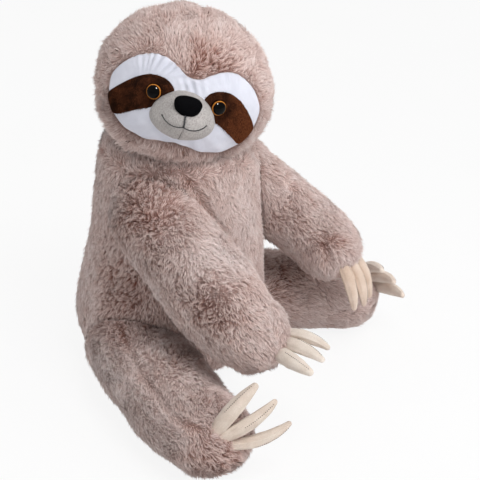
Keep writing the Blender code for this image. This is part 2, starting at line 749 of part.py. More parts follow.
def make_claws(paw):
    """Three claws on one pivot, whose line is the row across the paw."""
    limb = bpy.data.objects[paw.replace("hand", "arm").replace("foot", "leg")]
    place = claw_row(paw)
    pivot = empty(f"{paw}_row", place, limb)
    seat, row = place.translation, place.col[0].to_3d()
    length = CLAW_LENGTHS[paw.split("_")[1]]
    fan, twist = PAWS[paw]["fan"], PAWS[paw]["twist"]
    for index, label in enumerate(CLAW_NAMES):
        offset = index - 1
        stand = place @ Matrix.Rotation(-fan * offset, 4, "Z") @ Matrix.Rotation(twist * offset, 4, "Y")
        stand.translation = on_paw(paw, seat + row * (CLAW_PITCH * offset))
        claw = solid(f"{paw}_claw_{label}", claw_form(length), "felt", stand, pivot)
        for angle in angles_between(CLAWS_UNCURL, CLAWS_CURL):
            carve(claw, "DIFFERENCE", paw_form(paw, GAP), turned_about(seat, row, angle))
        smooth(claw)


def main():
    clear_scene()
    make_body()
    make_head()
    for side in SIDES:
        make_arm(side)
        make_leg(side)
    for paw in PAWS:
        make_claws(paw)


main()
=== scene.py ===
"""Looks of a seated plush sloth: pile on stuffed skins, sewn face cloths, plastic eyes and felt claws."""

import math

import bmesh
import bpy
import numpy as np
from mathutils import Matrix, Vector
from mathutils.bvhtree import BVHTree
from mathutils.kdtree import KDTree


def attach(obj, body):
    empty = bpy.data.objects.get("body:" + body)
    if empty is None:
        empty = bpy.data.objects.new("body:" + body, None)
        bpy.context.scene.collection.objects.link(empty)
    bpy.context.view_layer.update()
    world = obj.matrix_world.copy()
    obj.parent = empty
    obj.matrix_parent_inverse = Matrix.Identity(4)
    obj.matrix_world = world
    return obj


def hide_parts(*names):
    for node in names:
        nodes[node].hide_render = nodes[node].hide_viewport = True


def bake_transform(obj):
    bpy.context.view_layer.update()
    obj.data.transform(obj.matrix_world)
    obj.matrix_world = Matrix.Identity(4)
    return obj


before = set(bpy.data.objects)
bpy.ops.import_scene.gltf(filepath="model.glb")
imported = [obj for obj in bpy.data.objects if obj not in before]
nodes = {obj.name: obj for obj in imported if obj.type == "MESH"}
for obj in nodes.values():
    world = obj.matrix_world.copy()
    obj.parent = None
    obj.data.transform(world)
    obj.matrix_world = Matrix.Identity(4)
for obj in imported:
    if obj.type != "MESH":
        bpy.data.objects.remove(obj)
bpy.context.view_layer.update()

# Camera, fitted to the photo
CAMERA_PLACE = Vector((-1.2992, -0.9097, 0.9396))
CAMERA_RIGHT = Vector((0.5736, -0.8192, 0.0))
CAMERA_UP = Vector((0.3462, 0.2424, 0.9063))
FIELD_OF_VIEW = math.radians(18.7)
AIM_RIGHT, AIM_UP = 0.0475, -0.0222
SENSOR_WIDTH = 36

# Head's own frame: its front is -Y and its crown +Z
HEAD_PLACE = Vector((-0.012, -0.027, 0.367))
HEAD_FRAME = (Matrix.Translation(HEAD_PLACE) @ Matrix.Rotation(math.radians(-52), 4, "Z")
              @ Matrix.Rotation(math.radians(-11), 4, "X") @ Matrix.Rotation(math.radians(15), 4, "Y"))
HEAD_HALF = np.array((0.098, 0.091, 0.087))
FACE_HALF_WIDTH, FACE_HALF_HEIGHT, FACE_DROP = 0.083, 0.047, 0.013
PANEL_LIFT, PATCH_LIFT = 0.0023, 0.0039
PANEL_SHARES = (
    (0.000, 0.700), (0.108, 0.735), (0.217, 0.860), (0.373, 0.985), (0.554, 1.000),
    (0.747, 0.850), (0.904, 0.585), (1.000, 0.277), (1.006, 0.000), (0.970, -0.277),
    (0.867, -0.640), (0.747, -0.820), (0.602, -0.945), (0.410, -1.000), (0.217, -0.955),
    (0.000, -0.905),
)
PATCH_SHARES = (
    (0.193, 0.309), (0.241, 0.447), (0.337, 0.543), (0.482, 0.564), (0.602, 0.500),
    (0.735, 0.340), (0.855, 0.128), (0.960, -0.117), (0.975, -0.277), (0.920, -0.489),
    (0.845, -0.645), (0.711, -0.489), (0.578, -0.319), (0.434, -0.181), (0.170, 0.020),
)
EYE_SPREAD = {"right": 0.0362, "left": 0.0322}
EYE_DROP, EYE_RADIUS, EYE_DOME = 0.0035, 0.0088, 0.0062
MUZZLE_HALF = np.array((0.0355, 0.0400, 0.0275))
MUZZLE_CENTRE = np.array((-0.0012, -0.0840, -0.0205))
MUZZLE_TAPER = 0.14
NOSE_HALF = np.array((0.0148, 0.0085, 0.0108))
NOSE_CENTRE = np.array((-0.0020, -0.1195, -0.0057))

SIDES = {"right": -1, "left": 1}


# Small helpers

def unit(vectors):
    return vectors / np.maximum(np.linalg.norm(vectors, axis=-1, keepdims=True), 1e-9)


def ease(share):
    share = np.clip(share, 0, 1)
    return share * share * (3 - 2 * share)


def moved(matrix, points):
    """Points of one frame in the frame that a matrix leads to."""
    turn = np.array(matrix.to_3x3())
    return points @ turn.T + np.array(matrix.translation)


def waves(places, size, seed, count=20):
    """A smooth random field, mostly between -1 and 1, that changes over about size."""
    rng = np.random.default_rng(seed)
    ways = unit(rng.normal(size=(count, 3))) * (2 * math.pi / size) * rng.uniform(0.6, 1.3, (count, 1))
    phases = rng.uniform(0, 2 * math.pi, count)
    return np.sin(places @ ways.T + phases).sum(1) * math.sqrt(1.0 / count)


def curve_through(points, steps=12, closed=False):
    """A smooth curve through points, with steps pieces between each two."""
    points = np.array(points, float)
    if closed:
        padded = np.concatenate([points[-1:], points, points[:2]])
    else:
        padded = np.concatenate([2 * points[:1] - points[1:2], points, 2 * points[-1:] - points[-2:-1]])
    a, b, c, d = (padded[k:len(padded) - 3 + k, None] for k in range(4))
    t = np.arange(steps)[:, None] / steps
    rows = b + (c - a) * t / 2 + (a - 2.5 * b + 2 * c - d / 2) * t ** 2 + (3 * b - a - 3 * c + d) * t ** 3 / 2
    rows = rows.reshape(-1, points.shape[1])
    return rows if closed else np.append(rows, points[-1:], 0)


def placed(name, data):
    """A new object in the scene."""
    made = bpy.data.objects.new(name, data)
    bpy.context.scene.collection.objects.link(made)
    return made


def material(name):
    made = bpy.data.materials.new(name)
    made.use_nodes = True
    tree = made.node_tree
    return made, tree, tree.nodes["Principled BSDF"]


def node(tree, kind, **values):
    made = tree.nodes.new(kind)
    for key, value in values.items():
        setattr(made, key, value)
    return made


def ramp(tree, source, stops):
    made = node(tree, "ShaderNodeValToRGB")
    elements = made.color_ramp.elements
    while len(elements) < len(stops):
        elements.new(0.5)
    for element, (place, colour) in zip(elements, stops):
        element.position = place
        element.color = (*colour, 1)
    return feed(made, Fac=source).outputs[0]


def feed(made, **values):
    """A node whose inputs get constants, or sockets to follow; _ in a key stands for a space."""
    for key, value in values.items():
        socket = made.inputs[key.replace("_", " ")]
        if isinstance(value, bpy.types.NodeSocket):
            made.id_data.links.new(value, socket)
        else:
            socket.default_value = value
    return made


def noise_of(tree, scale, detail, rough=0.5, place=None):
    """A noise over the object's own places, or over another place."""
    place = place or node(tree, "ShaderNodeTexCoord").outputs["Object"]
    made = node(tree, "ShaderNodeTexNoise")
    return feed(made, Vector=place, Scale=scale, Detail=detail, Roughness=rough).outputs["Fac"]


def map_of(tree):
    """The place on a mesh's map, and its two numbers one by one."""
    place = node(tree, "ShaderNodeUVMap", uv_map="OFBake").outputs[0]
    parts = feed(node(tree, "ShaderNodeSeparateXYZ"), Vector=place)
    return place, parts.outputs["X"], parts.outputs["Y"]


def bump(tree, height, distance, strength=1.0):
    made = node(tree, "ShaderNodeBump")
    return feed(made, Height=height, Distance=distance, Strength=strength).outputs[0]


def mixed(tree, first, second, factor=1.0, kind="MULTIPLY"):
    """Two colours multiplied or mixed, by a factor that is a number or a socket."""
    made = node(tree, "ShaderNodeMix", data_type="RGBA", blend_type=kind)
    return feed(made, Factor=factor, A=first, B=second).outputs["Result"]


# Finishes

WHITE = (1.0, 1.0, 1.0)


def fibre_finish(name, deep_stops, pale_stops, gloss):
    """Pile whose colour runs from root to tip, and whose tone differs from tuft to tuft."""
    made, tree, shader = material(name)
    _, tone, along = map_of(tree)
    tint = mixed(tree, ramp(tree, along, deep_stops), ramp(tree, along, pale_stops), tone, "MIX")
    feed(shader, Base_Color=tint, Roughness=0.9, Specular_IOR_Level=gloss)
    return made


def mottled_finish(name, tone, stops, relief, overlay=None, **values):
    """Mottled colour with a fine relief.

    tone is a noise's scale, detail and roughness, or the name of a point attribute. relief is a noise,
    its height and its strength. overlay is a broader or finer noise and the colours that it multiplies by.
    """
    made, tree, shader = material(name)
    if isinstance(tone, str):
        source = node(tree, "ShaderNodeAttribute", attribute_name=tone).outputs["Fac"]
    else:
        source = noise_of(tree, *tone)
    tint = ramp(tree, source, stops)
    if overlay:
        noise, colours = overlay
        tint = mixed(tree, tint, ramp(tree, noise_of(tree, *noise), colours))
    noise, *height = relief
    feed(shader, Base_Color=tint, Normal=bump(tree, noise_of(tree, *noise), *height), **values)
    return made


def thread_finish(name, dark, light):
    """Twisted thread, lighter at places."""
    return mottled_finish(name, (1500, 2), ((0.4, dark), (0.65, light)), ((2500, 1), 0.0002), Roughness=0.7)


def felt_finish(name, deep, pale):
    """Stuffed felt, a little browner at places."""
    return mottled_finish(name, (55, 3), ((0.3, deep), (0.7, pale)), ((1400, 3, 0.7), 0.0005),
                          ((900, 4, 0.7), ((0.3, (0.84, 0.82, 0.80)), (0.65, WHITE))),
                          Roughness=0.92, Specular_IOR_Level=0.08, Sheen_Weight=0.2)


def eye_finish():
    """Printed eye plastic under a clear gloss: black pupil, amber ring, black rim."""
    made, tree, shader = material("eye_plastic_print")
    place, _, outward = map_of(tree)
    stretch = feed(node(tree, "ShaderNodeMapping"), Vector=place, Scale=(40, 2, 1)).outputs[0]
    rays = ramp(tree, noise_of(tree, 1, 3, place=stretch), ((0.3, (0.55, 0.5, 0.45)), (0.7, WHITE)))
    rings = ramp(tree, outward, (
        (0.0, (0.0008, 0.0008, 0.0008)), (0.80, (0.001, 0.001, 0.001)), (0.84, (0.18, 0.050, 0.006)),
        (0.88, (0.66, 0.27, 0.045)), (0.92, (0.50, 0.18, 0.026)), (0.95, (0.05, 0.014, 0.003)),
        (1.0, (0.003, 0.002, 0.002))))
    feed(shader, Base_Color=mixed(tree, rings, rays, 0.7), Roughness=0.07, Specular_IOR_Level=0.10)
    return made


PILE = fibre_finish(
    "pile",
    ((0.0, (0.170, 0.060, 0.042)), (0.35, (0.365, 0.172, 0.132)), (0.75, (0.730, 0.522, 0.464)),
     (1.0, (0.872, 0.705, 0.652))),
    ((0.0, (0.630, 0.450, 0.408)), (0.35, (0.790, 0.610, 0.565)), (0.75, (0.905, 0.775, 0.740)),
     (1.0, (0.950, 0.865, 0.838))), 0.08)
BROWN_PILE = fibre_finish(
    "brown_pile",
    ((0.0, (0.006, 0.002, 0.0010)), (0.5, (0.016, 0.005, 0.002)), (1.0, (0.034, 0.010, 0.004))),
    ((0.0, (0.050, 0.014, 0.005)), (0.5, (0.125, 0.036, 0.013)), (1.0, (0.230, 0.075, 0.030))), 0.05)
# Knitted backing under the pile, as pale as the pile over it, painted shade and painted light included
BACKING = mottled_finish(
    "pile_backing", "tone", ((0.1, (0.24, 0.130, 0.105)), (0.8, (0.68, 0.530, 0.490))), ((700, 2), 0.0006),
    ((60, 4), ((0.3, (0.85, 0.84, 0.83)), (0.7, WHITE))), Roughness=0.95, Specular_IOR_Level=0.1)
# Short brushed cloth
WHITE_CLOTH = mottled_finish(
    "white_brushed_cloth", (45, 5), ((0.3, (0.60, 0.61, 0.69)), (0.75, (0.73, 0.74, 0.82))),
    ((900, 3), 0.0005, 0.8), Roughness=0.9, Specular_IOR_Level=0.08, Sheen_Weight=0.2, Sheen_Roughness=0.5)
# Speckled grey suede
SUEDE = mottled_finish(
    "muzzle_suede", (650, 3, 0.7),
    ((0.34, (0.30, 0.275, 0.265)), (0.5, (0.435, 0.405, 0.39)), (0.66, (0.54, 0.51, 0.495))),
    ((650, 3, 0.7), 0.0005), ((40, 3), ((0.35, (0.86, 0.86, 0.86)), (0.65, WHITE))),
    Roughness=0.9, Specular_IOR_Level=0.08, Sheen_Weight=0.15)
# Short black velour
VELOUR = mottled_finish(
    "nose_velour", (1100, 3, 0.7), ((0.35, (0.0005, 0.0005, 0.0008)), (0.7, (0.003, 0.003, 0.004))),
    ((1100, 3, 0.7), 0.0005), Roughness=0.8, Specular_IOR_Level=0.02)
WASHER_PLASTIC = mottled_finish(
    "washer_moulded_plastic", (120, 3), ((0.3, (0.70, 0.70, 0.68)), (0.7, (0.80, 0.80, 0.78))),
    ((500, 2), 0.0001), Roughness=0.45)
EYE_PRINT = eye_finish()
# One felt for every claw: the right foot's copy is its own colour; the other paws' copies are painted light
# (right hand paler, left foot paler still) or painted shade (left hand browner), for how light falls on each
# paw
FELTS = {"right_foot": felt_finish("claw_felt", (0.66, 0.54, 0.455), (0.79, 0.69, 0.605)),
         "right_hand": felt_finish("claw_felt_painted_light", (0.74, 0.640, 0.555), (0.88, 0.800, 0.725)),
         "left_foot": felt_finish("claw_felt_painted_more_light", (0.80, 0.670, 0.580), (0.92, 0.820, 0.740)),
         "left_hand": felt_finish("claw_felt_painted_shade", (0.66, 0.500, 0.395), (0.80, 0.660, 0.560))}
BLACK_THREAD = thread_finish("black_thread", (0.006, 0.006, 0.007), (0.03, 0.03, 0.032))
CLAW_THREAD = thread_finish("claw_thread", (0.10, 0.065, 0.048), (0.20, 0.14, 0.10))
SEAM_THREAD = thread_finish("seam_thread", (0.10, 0.09, 0.085), (0.22, 0.20, 0.19))


# Meshes

def piece(name, points, groups, finish):
    """An object of a mesh, from groups of faces; a group's faces all have the same number of corners."""
    mesh = bpy.data.meshes.new(name)
    mesh.vertices.add(len(points))
    mesh.vertices.foreach_set("co", np.asarray(points, np.float32).ravel())
    corners = np.concatenate([group.ravel() for group in groups])
    sizes = np.concatenate([np.full(len(group), group.shape[1]) for group in groups])
    mesh.loops.add(len(corners))
    mesh.loops.foreach_set("vertex_index", corners.astype(np.int32))
    mesh.polygons.add(len(sizes))
    mesh.polygons.foreach_set("loop_start", (np.cumsum(sizes) - sizes).astype(np.int32))
    mesh.update(calc_edges=True)
    mesh.shade_smooth()
    mesh.materials.append(finish)
    return placed(name, mesh)


def give_map(item, across, along):
    """A map from one pair of numbers for each corner of the mesh."""
    layer = item.data.uv_layers.new(name="OFBake")
    layer.data.foreach_set("uv", np.stack([across, along], 1).astype(np.float32).ravel())


def read(rows, field, width, kind=np.float32):
    """One field of all rows of some mesh data, as an array with width columns."""
    found = np.zeros(len(rows) * width, kind)
    rows.foreach_get(field, found)
    return found.reshape(-1, width)


def corner_points(item):
    return read(item.data.loops, "vertex_index", 1, np.int32)[:, 0]


def vertices_of(item):
    return read(item.data.vertices, "co", 3).astype(float)


def normals_of(item):
    return read(item.data.vertex_normals, "vector", 3).astype(float)


def triangles_of(item):
    item.data.calc_loop_triangles()
    return read(item.data.loop_triangles, "vertices", 3, np.int32)


def set_vertices(item, points):
    item.data.vertices.foreach_set("co", points.astype(np.float32).ravel())
    item.data.update()


def with_modifiers(item, *wanted):
    """The object's mesh after modifiers, which are then gone."""
    for kind, values in wanted:
        step = item.modifiers.new(kind, kind)
        for key, value in values.items():
            setattr(step, key, value)
    bpy.context.view_layer.update()
    seen = item.evaluated_get(bpy.context.evaluated_depsgraph_get())
    result = bpy.data.meshes.new_from_object(seen)
    item.modifiers.clear()
    old = item.data
    item.data = result
    bpy.data.meshes.remove(old)


def skin_from(node_name, voxel, rounds):
    """A dense even skin over a solid's form."""
    item = placed(f"{node_name}_skin", nodes[node_name].data.copy())
    with_modifiers(item, ("REMESH", {"mode": "VOXEL", "voxel_size": voxel}),
                   ("SMOOTH", {"factor": 0.5, "iterations": rounds}))
    item.data.materials.clear()
    item.data.materials.append(BACKING)
    item.data.shade_smooth()
    return item


def tree_of(item):
    return BVHTree.FromPolygons(vertices_of(item).tolist(), triangles_of(item).tolist())


def scatter(item, spacing, rng):
    """Even random places on a mesh, one for each square of spacing, with their normals."""
    corners, points, normals = triangles_of(item), vertices_of(item), normals_of(item)
    a, b, c = (points[corners[:, k]] for k in range(3))
    reach = np.cumsum(np.linalg.norm(np.cross(b - a, c - a), axis=1) / 2)
    count = int(reach[-1] / spacing ** 2)
    marks = (np.arange(count) + rng.uniform(0, 1, count)) / count * reach[-1]
    chosen = corners[np.minimum(np.searchsorted(reach, marks), len(reach) - 1)]
    u, v = rng.uniform(0, 1, (2, count))
    fold = u + v > 1
    u, v = np.where(fold, 1 - u, u), np.where(fold, 1 - v, v)
    weights = np.stack([1 - u - v, u, v], 1)[:, :, None]
    return (points[chosen] * weights).sum(1), unit((normals[chosen] * weights).sum(1))


def bands(rings, sides):
    """Faces between rings that have this many sides, ring by ring."""
    index = np.arange(sides)
    after = (index + 1) % sides
    low = sides * np.arange(rings - 1)[:, None]
    return np.stack([low + index, low + after, low + sides + after, low + sides + index], 2).reshape(-1, 4)


def closed_faces(rings, sides, turned=False):
    """Faces over one point, some rings and one more point; turned ones look the other way."""
    index = np.arange(sides)
    after = (index + 1) % sides
    last, end = 1 + sides * (rings - 1), 1 + sides * rings
    quads = 1 + bands(rings, sides)
    fans = np.concatenate([np.stack([np.zeros(sides, int), 1 + after, 1 + index], 1),
                           np.stack([np.full(sides, end), last + index, last + after], 1)])
    return [quads[:, (0, 3, 2, 1)], fans[:, (0, 2, 1)]] if turned else [quads, fans]


def repeated(faces, count, step):
    """The same faces for each of count groups of step points."""
    faces = np.array(faces)
    return (np.arange(count)[:, None, None] * step + faces).reshape(-1, faces.shape[1])


def turn_round(sides):
    """The angle of each of a ring's sides."""
    return np.arange(sides) * 2 * math.pi / sides


# Pile

# Rings along a fibre: a fibre of the pile bends at its second ring, one of the underfur is straight
PILE_SHARES, UNDERFUR_SHARES, FIBRE_WIDTHS = (0.0, 0.55), (0.0,), (1.0, 0.8)
TRIANGLES = {PILE_SHARES: 10, UNDERFUR_SHARES: 4}
MOST_TRIANGLES = 195000
UNDERFUR_HEIGHT = 0.72
FLOOR_CLEARANCE = 0.0006
# How much a fibre's own roundness gives way to the skin's normal
SOFTNESS = 1.6
SHORTEST, ROOT_DEPTH = 0.0008, 0.0012
LENGTH_SPREAD, RADIUS_SPREAD = (0.82, 1.12), (0.75, 1.2)
TUFT_WILDNESS, FIBRE_WILDNESS, TIP_WILDNESS, TONE_WILDNESS = 0.22, 0.16, 0.05, 0.10
# A tuft's least length, its growth over the pile, the share of its width left at its tip, and how far
# past its own length a fibre reaches for it
TUFT_LEAST, TUFT_GROWTH, TUFT_WIDTH, TUFT_REACH = 0.004, 1.05, 0.30, 1.15
# A fibre's bend: how high over its root, and how far towards its tip
HOLD_RISE, HOLD_SHARE = 0.42, 0.22


def fibre_piece(name, roots, holds, tips, radii, tones, normals, finish, rng, shares, most):
    """Tapered three-sided fibres as one mesh, each closed at its root and pointed at its tip."""
    count, levels = len(roots), len(shares)
    rings, outward = [], []
    spin = rng.normal(size=(count, 3))
    for array in (roots, holds, tips):
        array[:, 2] = np.maximum(array[:, 2], FLOOR_CLEARANCE)
    for share, width in zip(shares, FIBRE_WIDTHS):
        centre = roots * (1 - share) ** 2 + holds * (2 * share * (1 - share)) + tips * share ** 2
        ahead = unit((holds - roots) * (1 - share) + (tips - holds) * share)
        across = unit(np.cross(ahead, spin))
        over = np.cross(ahead, across)
        for angle in turn_round(3):
            out = across * math.cos(angle) + over * math.sin(angle)
            rings.append(centre + out * (radii * width)[:, None])
            outward.append(unit(out + normals * SOFTNESS))
    points = np.stack([*rings, tips], 1)
    outward = np.stack([*outward, normals], 1)
    per = points.shape[1]
    top = 3 * (levels - 1)
    ends = [(top, top + 1, per - 1), (top + 1, top + 2, per - 1), (top + 2, top, per - 1), (2, 1, 0)]
    made = piece(name, points.reshape(-1, 3),
                 [repeated(bands(levels, 3), count, per), repeated(ends, count, per)], finish)
    along = np.append(np.repeat(shares, 3), 1.0)
    spread = np.append(np.tile((-0.004, 0, 0.004), levels), 0)
    fibre, spot = np.divmod(corner_points(made), per)
    give_map(made, np.clip(tones[fibre] + spread[spot], 0.005, 0.995), 0.01 + 0.98 * most * along[spot])
    made.data.normals_split_custom_set_from_vertices(outward.reshape(-1, 3))
    return made


def grow(name, item, spacing, radius, rule, finish, seed, clump=0.0043, shares=PILE_SHARES, most=1.0):
    """Pile over a skin, in tufts about clump apart.

    rule(places, normals) gives where fibres lie, how far they stand, their length, tone and clumping.
    """
    rng = np.random.default_rng(seed)
    places, normals = scatter(item, spacing, rng)
    heads, head_normals = scatter(item, clump, rng)
    looks = rule(places, normals)
    kept = looks[2] > SHORTEST
    places, normals, comb, stand, length, tone, gather = (array[kept] for array in (places, normals, *looks))
    head_comb, head_stand, head_length, _, _ = rule(heads, head_normals)

    def ways(normal, lie, up, wild):
        flat = unit(lie - normal * (lie * normal).sum(1, keepdims=True))
        return unit(normal * up[:, None] + flat * (1 - up)[:, None] + rng.normal(size=normal.shape) * wild)

    head_ways = ways(head_normals, head_comb, head_stand, TUFT_WILDNESS)
    head_tips = heads + head_ways * np.maximum(head_length, TUFT_LEAST)[:, None] * TUFT_GROWTH
    finder = KDTree(len(heads))
    for index, head in enumerate(heads):
        finder.insert(head, index)
    finder.balance()
    nearest = np.array([finder.find(place)[1] for place in places])
    own_ways = ways(normals, comb, stand, FIBRE_WILDNESS)
    size = length * most * rng.uniform(*LENGTH_SPREAD, len(places))
    own_tips = places + own_ways * size[:, None]
    towards = ((head_tips - heads)[nearest] * most + heads[nearest] - places
               + (places - heads[nearest]) * TUFT_WIDTH)
    reach = np.linalg.norm(towards, axis=1)
    towards = places + towards * np.minimum(1, TUFT_REACH * size / np.maximum(reach, 1e-6))[:, None]
    tips = own_tips + (towards - own_tips) * (gather * most)[:, None]
    tips += rng.normal(size=tips.shape) * (size * TIP_WILDNESS)[:, None]
    holds = places + normals * (size * HOLD_RISE)[:, None] + (tips - places) * HOLD_SHARE
    roots = places - normals * ROOT_DEPTH
    tones = tone + rng.normal(size=len(tone)) * TONE_WILDNESS
    tones = np.clip(tones + (rng.normal(size=len(heads)) * TONE_WILDNESS)[nearest], 0, 1)
    radii = radius * rng.uniform(*RADIUS_SPREAD, len(places))
    parts = max(1, math.ceil(len(places) * TRIANGLES[shares] / MOST_TRIANGLES))
    order = np.argsort(places[:, 2] if parts > 1 else places[:, 0], kind="stable")
    made = []
    for part, chosen in enumerate(np.array_split(order, parts)):
        label = name if parts == 1 else f"{name}_{part + 1}"
        arrays = (array[chosen] for array in (roots, holds, tips, radii, tones, normals))
        made.append(fibre_piece(label, *arrays, finish, rng, shares, most))
    return made


def near_line(places, *lines):
    """How far each place is from the nearest of some lines of points, and the direction away from it."""
    best = np.full(len(places), 1e9)
    away = np.zeros_like(places)
    for start, end in [pair for line in map(np.array, lines) for pair in zip(line, line[1:])]:
        along = end - start
        share = np.clip(((places - start) @ along) / (along @ along), 0, 1)
        gap = places - (start + share[:, None] * along)
        distance = np.linalg.norm(gap, axis=1)
        nearer = distance < best
        best = np.where(nearer, distance, best)
        away[nearer] = gap[nearer]
    return best, unit(away)


PARTING_WIDTH, PARTING_DEPTH, PARTING_TILT, PARTING_LEAN, PARTING_SHADE = 0.010, 0.45, 1.8, 0.3, 0.35


def part_pile(places, comb, stand, length, tone, lines):
    """Pile that parts along seams: on the nearest line it leans away, and is shorter and darker."""
    distance, away = near_line(places, *lines)
    share = 1 - ease(distance / PARTING_WIDTH)
    return (comb + away * (share * PARTING_TILT)[:, None], stand * (1 - PARTING_LEAN * share),
            length * (1 - PARTING_DEPTH * share), tone - PARTING_SHADE * share * share)


def near_spot(places, centre, radius):
    """1 at a centre, falling off smoothly over a radius."""
    return np.exp(-((places - np.array(centre)) ** 2).sum(1) / radius ** 2)


def varied(places, mean, seed, *swings):
    """A value that varies smoothly about its mean; each swing is how far, and over what size."""
    for step, (swing, size) in enumerate(swings):
        mean = mean + swing * waves(places, size, seed + step)
    return mean


def drift(places, size, seed):
    """A smooth random field of directions."""
    return np.stack([waves(places, size, seed + axis) for axis in range(3)], 1)


PILE_LENGTH, PILE_STAND, PILE_TONE, PILE_CLUMPING = 0.0098, 0.34, 0.60, 0.28
STAND_LIMITS, CLUMPING_LIMITS = (0.12, 0.95), (0.18, 0.8)
# How the lie wanders: over what size, and how strongly; curls wander only in standing tufts
SWIRL, FINE_SWIRL, CURL = (0.045, 0.35), (0.016, 0.25), (0.0065, 2.0)
# How much closer standing pile clumps
STAND_CLUMPING = 1.15
# Places where the pile stands up in dark tufts, or lies smooth and pale: centre, radius, standing, tone.
# The tone is partly the pile's own, and partly painted shade beside the limbs and painted light on sides
# turned from the lamps
TUFTED = (
    ((-0.114, -0.060, 0.262), 0.050, 0.42, -0.38),
    ((-0.150, -0.155, 0.190), 0.040, 0.38, -0.25),
    ((-0.104, -0.010, 0.150), 0.048, 0.32, -0.36),
    ((-0.110, 0.000, 0.105), 0.046, 0.32, -0.30),
    ((-0.137, -0.088, 0.099), 0.040, 0.35, -0.06),
    ((-0.150, -0.055, 0.085), 0.060, 0.00, 0.12),
    ((-0.175, -0.046, 0.070), 0.045, -0.12, 0.26),
    ((-0.128, 0.030, 0.047), 0.045, -0.10, 0.20),
    ((-0.222, -0.141, 0.058), 0.040, -0.05, 0.12),
    ((-0.205, -0.214, 0.045), 0.040, 0.12, -0.42),
    ((0.128, -0.095, 0.085), 0.045, 0.20, -0.46),
    ((0.165, -0.135, 0.055), 0.055, -0.14, 0.26),
    ((0.100, -0.130, 0.200), 0.060, -0.12, 0.05),
    ((-0.085, 0.060, 0.134), 0.075, -0.12, 0.16),
    ((-0.056, -0.087, 0.418), 0.020, 0.42, -0.48),
    ((-0.038, -0.103, 0.410), 0.016, 0.32, -0.30),
    ((0.086, -0.166, 0.164), 0.018, 0.25, -0.10),
    ((0.075, -0.116, 0.190), 0.030, 0.26, -0.15),
    ((-0.125, -0.133, 0.227), 0.027, -0.26, 0.62),
    ((-0.026, -0.101, 0.230), 0.070, -0.22, 0.15),
    ((-0.040, -0.070, 0.440), 0.060, -0.15, 0.02),
)


def common_rule(places, comb, seed):
    """Standing, length, tone and clumping that every plush piece shares."""
    stand = varied(places, PILE_STAND, seed, (0.08, 0.07), (0.05, 0.025))
    tone = varied(places, PILE_TONE, seed + 2, (0.10, 0.05), (0.08, 0.015))
    gather = varied(places, PILE_CLUMPING, seed + 4, (0.12, 0.04))
    length = PILE_LENGTH * varied(places, 1, seed + 5, (0.08, 0.03))
    curl = np.zeros(len(places))
    # The tufted places' tone: the pile's own, with painted shade and painted light
    for centre, radius, lift, shade in TUFTED:
        share = near_spot(places, centre, radius)
        stand = stand + lift * share
        tone = tone + shade * share
        gather = gather + STAND_CLUMPING * lift * share
        curl = curl + max(lift, 0) * share
    for (size, turn), share, step in ((SWIRL, 1, 6), (FINE_SWIRL, 1, 9), (CURL, curl[:, None], 12)):
        comb = comb + drift(places, size, seed + step) * turn * share
    return comb, np.clip(stand, *STAND_LIMITS), length, tone, np.clip(gather, *CLUMPING_LIMITS)


def shorter_near(length, places, part, reach=0.010, least=0.30):
    """Pile is pressed short where another piece lies against it, and absent inside that piece."""
    factor = np.ones(len(places))
    for other, tree in TREES.items():
        corners = vertices_of(SKINS[other])
        close = (places > corners.min(0) - reach).all(1) & (places < corners.max(0) + reach).all(1)
        for index in np.flatnonzero(close & (other != part)):
            spot, normal, _, distance = tree.find_nearest(places[index], reach * 1.2)
            if spot is not None:
                inside = (Vector(places[index]) - spot).dot(normal) < 0
                share = 0.0 if inside and distance > 0.003 else max(least, min(1.0, distance / reach))
                factor[index] = min(factor[index], share)
    return length * factor


PRESSED_LENGTH, PRESSED_HEIGHT = 0.35, 0.02


def shorter_at_floor(length, places):
    """Pile is pressed short under the sloth."""
    return length * (PRESSED_LENGTH + (1 - PRESSED_LENGTH) * ease(places[:, 2] / PRESSED_HEIGHT))


def on_face(shares, sign=1):
    """Sideways and upward places on the head, from shares of the face's half width and half height."""
    return [(sign * x * FACE_HALF_WIDTH, z * FACE_HALF_HEIGHT - FACE_DROP) for x, z in shares]


OUTLINE = curve_through(on_face(PANEL_SHARES) + on_face(PANEL_SHARES[-2:0:-1], -1), 8, closed=True)
OUTLINE_CENTRE = np.array((0, -FACE_DROP))


def polar(places):
    """Angles and distances of places round the middle of the face."""
    away = places - OUTLINE_CENTRE
    return np.arctan2(away[:, 1], away[:, 0]), np.linalg.norm(away, axis=1)


def past_outline(local):
    """How far points of the head's frame lie outside the face panel, less than 0 inside it."""
    angle, reach = polar(local[:, (0, 2)])
    edge = np.interp(angle, *polar(OUTLINE), period=2 * math.pi)
    return np.where(local[:, 1] < 0, reach - edge, 1.0)


# Claws: each paw's pointing and row directions, fan and twist in degrees, and where its claws sit
CLAW_LENGTHS = {"hand": 0.060, "foot": 0.069}
CLAW_NAMES = ("inner", "middle", "outer")
PAWS = {
    "right_hand": (
        (-0.1602, -0.9863, 0.0401), (-0.9703, 0.1499, -0.1900), 9, 35,
        ((-0.08264, -0.21527, 0.13163), (-0.09257, -0.21988, 0.12755), (-0.10765, -0.22074, 0.12349))),
    "left_hand": (
        (0.0600, -0.3800, -0.9230), (-0.9977, 0.0071, -0.0678), 5, 12,
        ((0.12982, -0.18484, 0.12856), (0.11584, -0.18733, 0.12613), (0.10195, -0.18372, 0.12720))),
    "right_foot": (
        (0.6489, -0.5639, 0.5109), (0.4618, -0.2418, -0.8534), 20, 50,
        ((-0.20082, -0.20432, 0.07478), (-0.19636, -0.21245, 0.06680), (-0.18968, -0.22007, 0.05464))),
    "left_foot": (
        (-0.4800, -0.8000, 0.3600), (-0.2740, 0.5266, 0.8048), 7, 20,
        ((0.20154, -0.18012, 0.05854), (0.19764, -0.17319, 0.07138), (0.19318, -0.16275, 0.07988))),
}
CLAW_SEATS = {paw.replace("hand", "arm").replace("foot", "leg"): data[4] for paw, data in PAWS.items()}


# Stuffed skins

